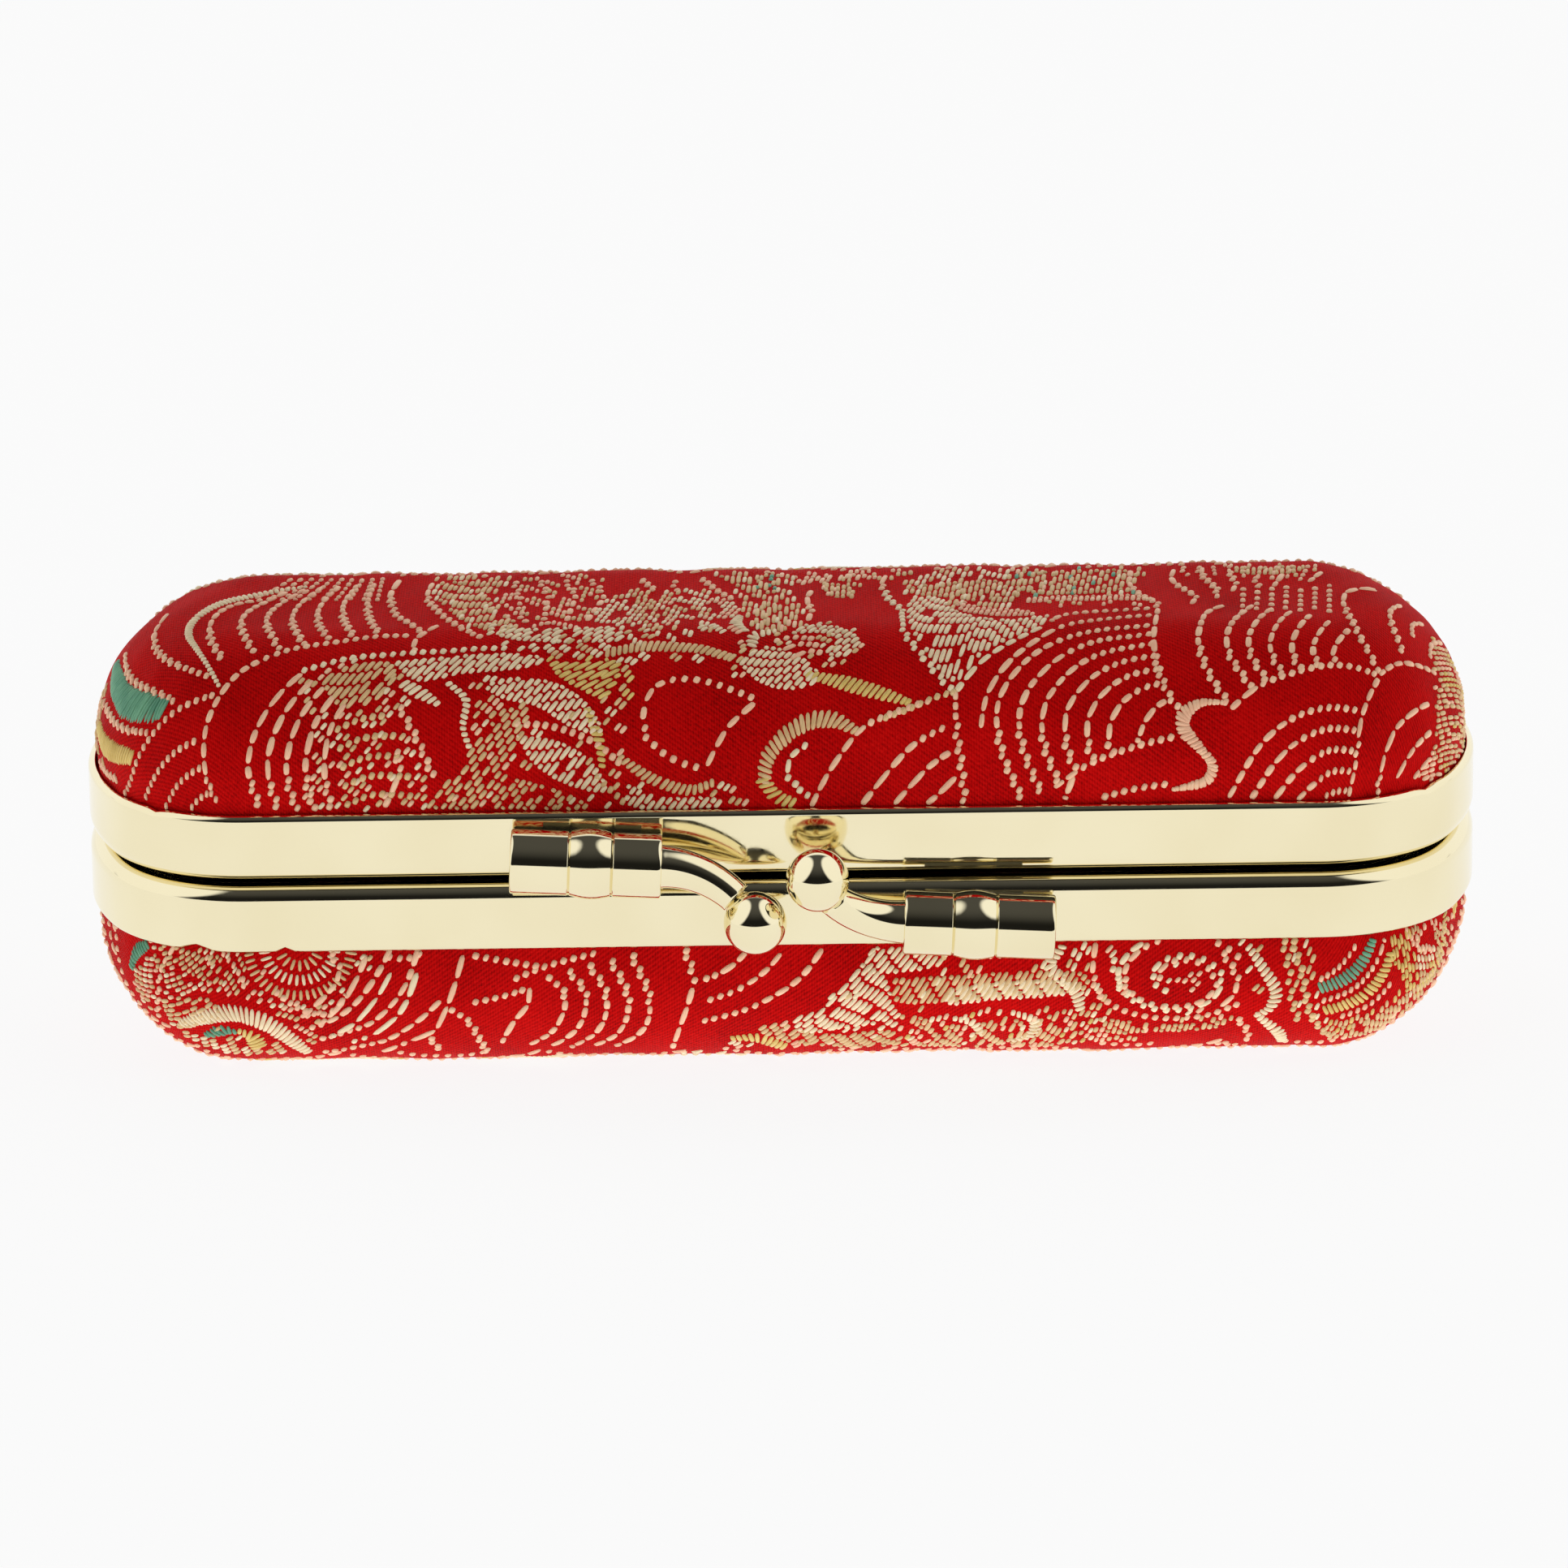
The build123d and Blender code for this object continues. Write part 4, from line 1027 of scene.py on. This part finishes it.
def stitch_mesh(name, half, table, materials):
    """All the stitches of one half as small closed grains, bent over the cover."""
    middle = (table[:, 0:2] + table[:, 2:4]) / 2
    d, _, _ = outline_reach(middle[:, 0], middle[:, 1])
    ends = np.maximum(outline_reach(table[:, 0], table[:, 1])[0], outline_reach(table[:, 2], table[:, 3])[0])
    table = table[(ends < CLOTH_EDGE + 0.1) & (d < CLOTH_EDGE)]
    a, b, width, height = table[:, None, 0:2], table[:, None, 2:4], table[:, 4], table[:, 5]
    along = table[:, 2:4] - table[:, 0:2]
    size = np.maximum(np.hypot(along[:, 0], along[:, 1]), 1e-6)
    across = np.stack([-along[:, 1], along[:, 0]], -1) / size[:, None]
    # A grain has five rings of five points: where each ring lies, its width and its height
    rings = around = 5
    stations = np.array([0.0, 0.16, 0.5, 0.84, 1.0])
    swell = np.array([0.30, 0.88, 1.0, 0.88, 0.30])
    rise = np.array([-0.25, 0.72, 1.0, 0.72, -0.25])
    # and, in a ring, how far each point lies to the side and how high
    side = np.array([-1.0, -0.72, 0.0, 0.72, 1.0]) / 2
    top = np.array([-0.35, 0.62, 1.0, 0.62, -0.35])
    root = -0.06  # the lowest points lie this far below the cloth
    # Arrays of stitch, ring and point
    spine = a + (b - a) * stations[None, :, None]
    offset = width[:, None, None] * swell[None, :, None] * side[None, None, :]
    flat = spine[:, :, None, :] + across[:, None, None, :] * offset[..., None]
    lift = height[:, None, None] * rise[None, :, None] * np.where(top > 0, top, 1)[None, None, :]
    lift = np.where(top[None, None, :] < 0, root, lift)
    points = wrap(flat[..., 0], flat[..., 1], lift, half).reshape(-1, 3)
    count = len(table)
    each = rings * around
    first = (np.arange(count) * each)[:, None, None]
    quads = np.array(grid_faces(rings, around, half == LID))
    caps = np.array([range(around), range(each - 1, each - 1 - around, -1)])
    if half == BASE:
        caps = caps[:, ::-1]
    faces = (quads[None] + first).reshape(-1, 4).tolist() + (caps[None] + first).reshape(-1, 5).tolist()
    slots = table[:, 6].astype(int)
    slots = np.concatenate([np.repeat(slots, len(quads)), np.repeat(slots, len(caps))])
    piece = new_mesh(name, points, faces, BODY[half], materials, slots)
    shape = (count, rings, around)
    u = np.broadcast_to(size[:, None, None] * stations[None, :, None], shape).reshape(-1)
    v = np.broadcast_to(np.arange(around) / (around - 1), shape).reshape(-1)
    set_map(piece, "stitch", np.stack([u, v], -1))
    return piece


def band(half, material):
    """The folded channel: outer wall with its rolled edges, web along the seam and inner wall."""
    wall = LINING_FACE + BAND_PROUD + GLUE + BAND_SHEET
    round_seam, round_top, round_back, round_inner, round_foot = 1.1, 0.42, 0.08, 0.2, 0.3
    inner_top = BAND_FOOT + INNER_WALL_HEIGHT
    profile = []  # inset and height: the inset grows inward, the height grows away from the seam

    def bend(ci, cz, radius, start, sweep, count):
        for k in range(count + 1):
            a = math.radians(start + sweep * k / count)
            profile.append((ci - radius * math.cos(a), cz + radius * math.sin(a)))

    bend(round_seam, BAND_FOOT + round_seam, round_seam, -90, 90, 14)
    profile += [(0.0, BAND_FOOT + h) for h in np.linspace(round_seam + 0.2, BAND_HEIGHT - round_top - 0.2, 6)]
    bend(round_top, BAND_TOP - round_top, round_top, 0, 90, 9)
    bend(BAND_SHEET - round_back, BAND_TOP - round_back, round_back, 90, 90, 3)
    profile += [(BAND_SHEET, BAND_FOOT + BAND_SHEET), (wall - BAND_SHEET, BAND_FOOT + BAND_SHEET)]
    bend(wall - BAND_SHEET + round_inner, inner_top - round_inner, round_inner, 0, 90, 4)
    bend(wall - round_inner, inner_top - round_inner, round_inner, 90, 90, 4)
    bend(wall - round_foot, BAND_FOOT + round_foot, round_foot, 180, 90, 5)
    inset, height = np.array(profile).T
    edge, normal = perimeter(0.6)
    run = np.concatenate([[0], np.cumsum(np.hypot(*np.diff(edge, axis=0).T))])
    wobble = 0.010 * np.sin(run * 0.23 + half) + 0.006 * np.sin(run * 0.61)
    flat = edge[None] - normal[None] * (inset[:, None, None] - wobble[None, :, None] * 0.5)
    dent = np.zeros(len(edge))
    for x, width, depth in RIM_DENTS[half]:
        dent += depth * np.exp(-((edge[:, 0] - x) / width) ** 2) * (edge[:, 1] < 0)
    rim_reach = 0.7  # how far down the wall a dent fades out
    at_rim = np.clip((height - BAND_TOP + rim_reach) / rim_reach, 0, 1) * (inset < BAND_SHEET + 0.01)
    z = SEAM_HEIGHT + half * (height[:, None] - at_rim[:, None] * dent[None, :])
    flat = flat - normal[None] * (at_rim[:, None] * dent[None, :] * 0.45)[..., None]
    points = np.concatenate([flat, z[..., None]], -1).reshape(-1, 3)
    rows, columns = len(profile), len(edge)
    faces = grid_faces(rows, columns, half == BASE) + bridge((rows - 1) * columns, 0, columns, half == BASE)
    piece = new_mesh(f"{PREFIX[half]}_band_polished", points, faces, BODY[half], [material])
    return stand_for(piece, f"{PREFIX[half]}_band")


def clasp_frame(half):
    """Mouth of the sleeve and the direction out of it; the lid's sleeve is on the left."""
    side = -half
    toward = Vector((-side * math.cos(SLEEVE_TILT), 0, side * math.sin(SLEEVE_TILT)))
    middle = Vector((side * (SLEEVE_MOUTH + SLEEVE_LENGTH / 2), FRONT_Y - SLEEVE_STANDOFF,
                     SEAM_HEIGHT - side * SLEEVE_HEIGHT))
    return middle + toward * (SLEEVE_LENGTH / 2), toward


def circle(centre, side, over, radius, around):
    """Points round a centre, in the plane of two directions."""
    return [tuple(centre + (side * math.cos(t) + over * math.sin(t)) * radius)
            for t in (2 * math.pi * k / around for k in range(around))]


def rod(name, centres, radii, body, material):
    """A round rod along centre points, with its own radius at each, capped at both ends."""
    points, up, around = [], Vector((0, 0, 1)), 64
    for i, centre in enumerate(centres):
        ahead = (centres[min(i + 1, len(centres) - 1)] - centres[max(i - 1, 0)]).normalized()
        side = ahead.cross(up).normalized()
        points += circle(centre, side, side.cross(ahead), radii[i], around)
    faces = grid_faces(len(centres), around, True)
    faces += [list(range(around)), [(len(centres) - 1) * around + k for k in range(around)][::-1]]
    return new_mesh(name, points, faces, body, [material])


def sleeve(half, material):
    """Crimped tube turned from its profile, with a raised bead between two grooves."""
    mouth, toward = clasp_frame(half)
    bevel, groove, depth = 0.12, 0.16, 0.12
    bead_lo, bead_hi, bead_rise, bead_steps = 3.3, 5.9, 0.2, 8
    bore, length, r, around = 1.44, SLEEVE_LENGTH, SLEEVE_RADIUS, 96
    # Distance from the mouth and radius: the outside first, then the bore
    profile = [(0, r - bevel - 0.25), (0.02, r - bevel), (bevel * 0.4, r - bevel * 0.35), (bevel, r),
               (0.3, r), (1.4, r), (bead_lo - groove - 0.2, r), (bead_lo - groove - 0.04, r),
               (bead_lo - groove, r - 0.03), (bead_lo - groove * 0.5, r - depth), (bead_lo, r - 0.02)]
    profile += [(bead_lo + (bead_hi - bead_lo) * t, r + bead_rise * math.sin(math.pi * t))
                for t in (k / bead_steps for k in range(bead_steps + 1))]
    profile += [(bead_hi + groove * 0.5, r - depth), (bead_hi + groove, r - 0.03),
                (bead_hi + groove + 0.04, r), (bead_hi + groove + 0.2, r), (8.0, r), (length - 0.3, r),
                (length - bevel, r), (length - bevel * 0.4, r - bevel * 0.35), (length, r - bevel),
                (length, bore + 0.01), (6, bore), (0.6, bore), (0, 1.5)]
    side = Vector((0, 1, 0))
    over = toward.cross(side)
    points = [p for x, radius in profile for p in circle(mouth - toward * x, side, over, radius, around)]
    faces = grid_faces(len(profile), around) + bridge((len(profile) - 1) * around, 0, around)
    piece = new_mesh(f"{PREFIX[half]}_sleeve_crimped", points, faces, BODY[half], [material])
    sharpen(piece, 32)
    return stand_for(piece, f"{PREFIX[half]}_clasp_sleeve")


def sharpen(piece, degrees):
    """Marks edges sharper than this so that smooth shading stops there."""
    bm = bmesh.new()
    bm.from_mesh(piece.data)
    bmesh.ops.recalc_face_normals(bm, faces=bm.faces)
    for edge in bm.edges:
        if len(edge.link_faces) == 2:
            edge.smooth = edge.calc_face_angle() < math.radians(degrees)
    bm.to_mesh(piece.data)
    bm.free()


def arm(half, material):
    """Rod that tapers out of its sleeve, bends across the seam and swells into its ball."""
    mouth, toward = clasp_frame(half)
    across, standoff, above = BALLS[half]
    ball = Vector((across, FRONT_Y - standoff, SEAM_HEIGHT + above))
    chord = ball - mouth
    # The circle through both points that leaves the mouth along the sleeve's axis
    aside = chord - toward * chord.dot(toward)
    radius = chord.length_squared / (2 * aside.length)
    centre = mouth + aside.normalized() * radius
    sweep = 2 * math.asin(chord.length / (2 * radius))
    inside, inside_steps, steps = 9.4, 6, 40
    stations = [(mouth - toward * (inside - inside * k / inside_steps), ARM_RADIUS)
                for k in range(inside_steps)]
    for k in range(steps + 1):
        a = sweep * k / steps
        stations.append((centre + (mouth - centre) * math.cos(a) + toward * radius * math.sin(a),
                         ARM_RADIUS - (ARM_RADIUS - ARM_TIP_RADIUS) * (k / steps) ** 0.8))
    stations = [(p, r) for p, r in stations if (p - ball).length > BALL_RADIUS * 0.93]
    bent = rod(f"{PREFIX[half]}_arm_bent", *zip(*stations), BODY[half], material)
    knob = knob_mesh(f"{PREFIX[half]}_arm_ball", ball, BODY[half], material)
    stand_for(bent, f"{PREFIX[half]}_clasp_arm")


def knob_mesh(name, centre, body, material):
    """The arm's ball with even quads, from a cube blown up to a sphere."""
    count = 24
    points, faces, seen = [], [], {}

    def vertex(p):
        key = tuple(round(v, 6) for v in p)
        if key not in seen:
            seen[key] = len(points)
            points.append(tuple(centre + Vector(p).normalized() * BALL_RADIUS))
        return seen[key]

    for axis, sign, i, j in product(range(3), (-1, 1), range(count), range(count)):
        quad = []
        for di, dj in ((0, 0), (1, 0), (1, 1), (0, 1)):
            p = [0, 0, 0]
            p[axis] = sign
            p[(axis + 1) % 3] = math.tan((2 * (i + di) / count - 1) * math.pi / 4)
            p[(axis + 2) % 3] = math.tan((2 * (j + dj) / count - 1) * math.pi / 4)
            quad.append(vertex(p))
        faces.append(quad if sign > 0 else quad[::-1])
    return new_mesh(name, points, faces, body, [material])


def room():
    """White surroundings with the dark card, dimmed for diffuse light and plain white to the camera."""
    world = bpy.data.worlds.new("studio")
    bpy.context.scene.world = world
    n = Nodes(world)
    background = n.tree.nodes["Background"]
    x, y, z = n.split(n.add("ShaderNodeTexCoord").outputs["Generated"])
    aside = n.plus(n.math("ABSOLUTE", x), n.times(z, CARD_NARROWING))
    card = n.times(n.step(z, 0.03, 0.08), n.step(y, 0.62, 0.50))
    card = n.times(card, n.step(aside, CARD_HALF_WIDTH + CARD_SOFTNESS, CARD_HALF_WIDTH - CARD_SOFTNESS))
    shade = n.plus(CARD_SHADE, n.times(n.step(z, 0.35, 1.0), CARD_SHADE_RISE))
    level = n.plus(n.times(card, shade), n.less(1.0, card))
    path = n.add("ShaderNodeLightPath").outputs
    seen = path["Is Camera Ray"]
    level = n.times(level, n.less(1.0, n.times(path["Is Diffuse Ray"], 1 - WORLD_LEVEL)))
    n.put(n.plus(n.times(level, n.less(1.0, seen)), seen), background.inputs["Strength"])
    background.inputs["Color"].default_value = (1, 1, 1, 1)


def floor():
    """Pale floor that keeps the object's soft shadow and shows as the white background."""
    mesh = bpy.data.meshes.new("floor")
    corners = [(x * FLOOR_SIZE * MM, y * FLOOR_SIZE * MM, 0) for x, y in ((-1, -1), (1, -1), (1, 1), (-1, 1))]
    mesh.from_pydata(corners, [], [(0, 1, 2, 3)])
    piece = bpy.data.objects.new("floor", mesh)
    bpy.context.scene.collection.objects.link(piece)
    n = new_material("floor_white")
    n.set(Base_Color=(0.86, 0.86, 0.86, 1), Roughness=0.9, Specular_IOR_Level=0.0)
    glow = n.add("ShaderNodeEmission")
    glow.inputs["Color"].default_value = (1, 1, 1, 1)
    path = n.add("ShaderNodeLightPath").outputs
    seen = n.most(path["Is Camera Ray"], n.most(path["Is Glossy Ray"], path["Is Transmission Ray"]))
    lighting = path["Is Diffuse Ray"]
    blend = n.add("ShaderNodeMixShader")
    n.put(n.plus(1.0, n.times(lighting, FLOOR_BOUNCE - 1)), glow.inputs["Strength"])
    n.put(n.most(n.times(seen, FLOOR_WHITE), lighting), blend.inputs[0])
    n.put(n.shader.outputs[0], blend.inputs[1])
    n.put(glow.outputs[0], blend.inputs[2])
    n.put(blend.outputs[0], n.tree.nodes["Material Output"].inputs["Surface"])
    mesh.materials.append(n.owner)


def lamps():
    for name, place, aim, wide, power in LAMPS:
        lamp = bpy.data.lights.new(name, "AREA")
        lamp.shape = "SQUARE"
        lamp.size = wide * MM
        lamp.energy = power
        holder = bpy.data.objects.new(name, lamp)
        holder.location = Vector(place) * MM
        holder.rotation_euler = (Vector(aim) * MM - holder.location).to_track_quat("-Z", "Y").to_euler()
        holder.visible_glossy = False
        bpy.context.scene.collection.objects.link(holder)


def camera():
    """The photograph's view: nearly level from the front, turned a little about its own axis."""
    view = bpy.data.cameras.new("camera")
    view.sensor_width = SENSOR
    view.lens = SENSOR * VIEW_DISTANCE / (PHOTO_PIXELS / PIXELS_PER_MM)
    view.shift_x, view.shift_y = (shift / PHOTO_PIXELS for shift in VIEW_SHIFT)
    view.clip_start, view.clip_end = 0.01, 20.0
    holder = bpy.data.objects.new("camera", view)
    bpy.context.scene.collection.objects.link(holder)
    back = Vector((0, -math.cos(VIEW_ELEVATION), math.sin(VIEW_ELEVATION)))
    holder.location = (Vector((0, 0, SEAM_HEIGHT)) + back * VIEW_DISTANCE) * MM
    holder.rotation_mode = "QUATERNION"
    holder.rotation_quaternion = (-back).to_track_quat("-Z", "Y") @ Euler((0, 0, VIEW_ROLL)).to_quaternion()
    bpy.context.scene.camera = holder


bpy.context.scene.view_settings.view_transform = "Standard"
ground = brocade_ground()
gold = polished_gold("gold_polished", 0.07, 0.00001)
gold_clasp = polished_gold("gold_clasp", 0.05, 0.000004)
lining_red = lining_satin("lining_satin_red", rgb(150, 8, 22), rgb(186, 20, 34))
threads = [thread(name) for name in THREAD_NAMES]
wool = fibres("wadding", 900.0, 6, 0.0002, 0.8, rgb(226, 222, 214), rgb(246, 243, 237), 0.95)
board = fibres("card_board", 1500.0, 5, 0.00008, 0.6, rgb(176, 164, 146), rgb(206, 195, 178), 0.9)

for half, design in ((LID, lid_design), (BASE, base_design)):
    prefix = PREFIX[half]
    cover = shell(f"{prefix}_brocade_cover", half, 0.0, -BROCADE + COVER_SLACK, 0.5, ground)
    stand_for(cover, f"{prefix}_brocade")
    stitches = stitch_mesh(f"{prefix}_brocade_stitches", half, design().table(), threads)
    pad = shell(f"{prefix}_padding_wadding", half, -PADDING_DROP, -PADDING_DROP - PADDING, 1.2, wool)
    stand_for(pad, f"{prefix}_padding")
    liner = shell(f"{prefix}_lining_satin", half, -LINING_DROP, -LINING_FACE, 0.6, lining_red, uneven=False)
    stand_for(liner, f"{prefix}_lining")
    band(half, gold)
    sleeve(half, gold_clasp)
    arm(half, gold_clasp)

panel = mirror_panel(lining_red)
stand_for(panel, "mirror_board")

for name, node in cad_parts.items():
    if name.endswith("core"):
        finish = board
    elif name == "lid_mirror":
        finish = mirror_glass()
    elif "hinge" in name or "saddle" in name:
        finish = gold_clasp
    else:
        continue
    for material_slot in node.material_slots:
        material_slot.material = finish

room()
floor()
lamps()
camera()
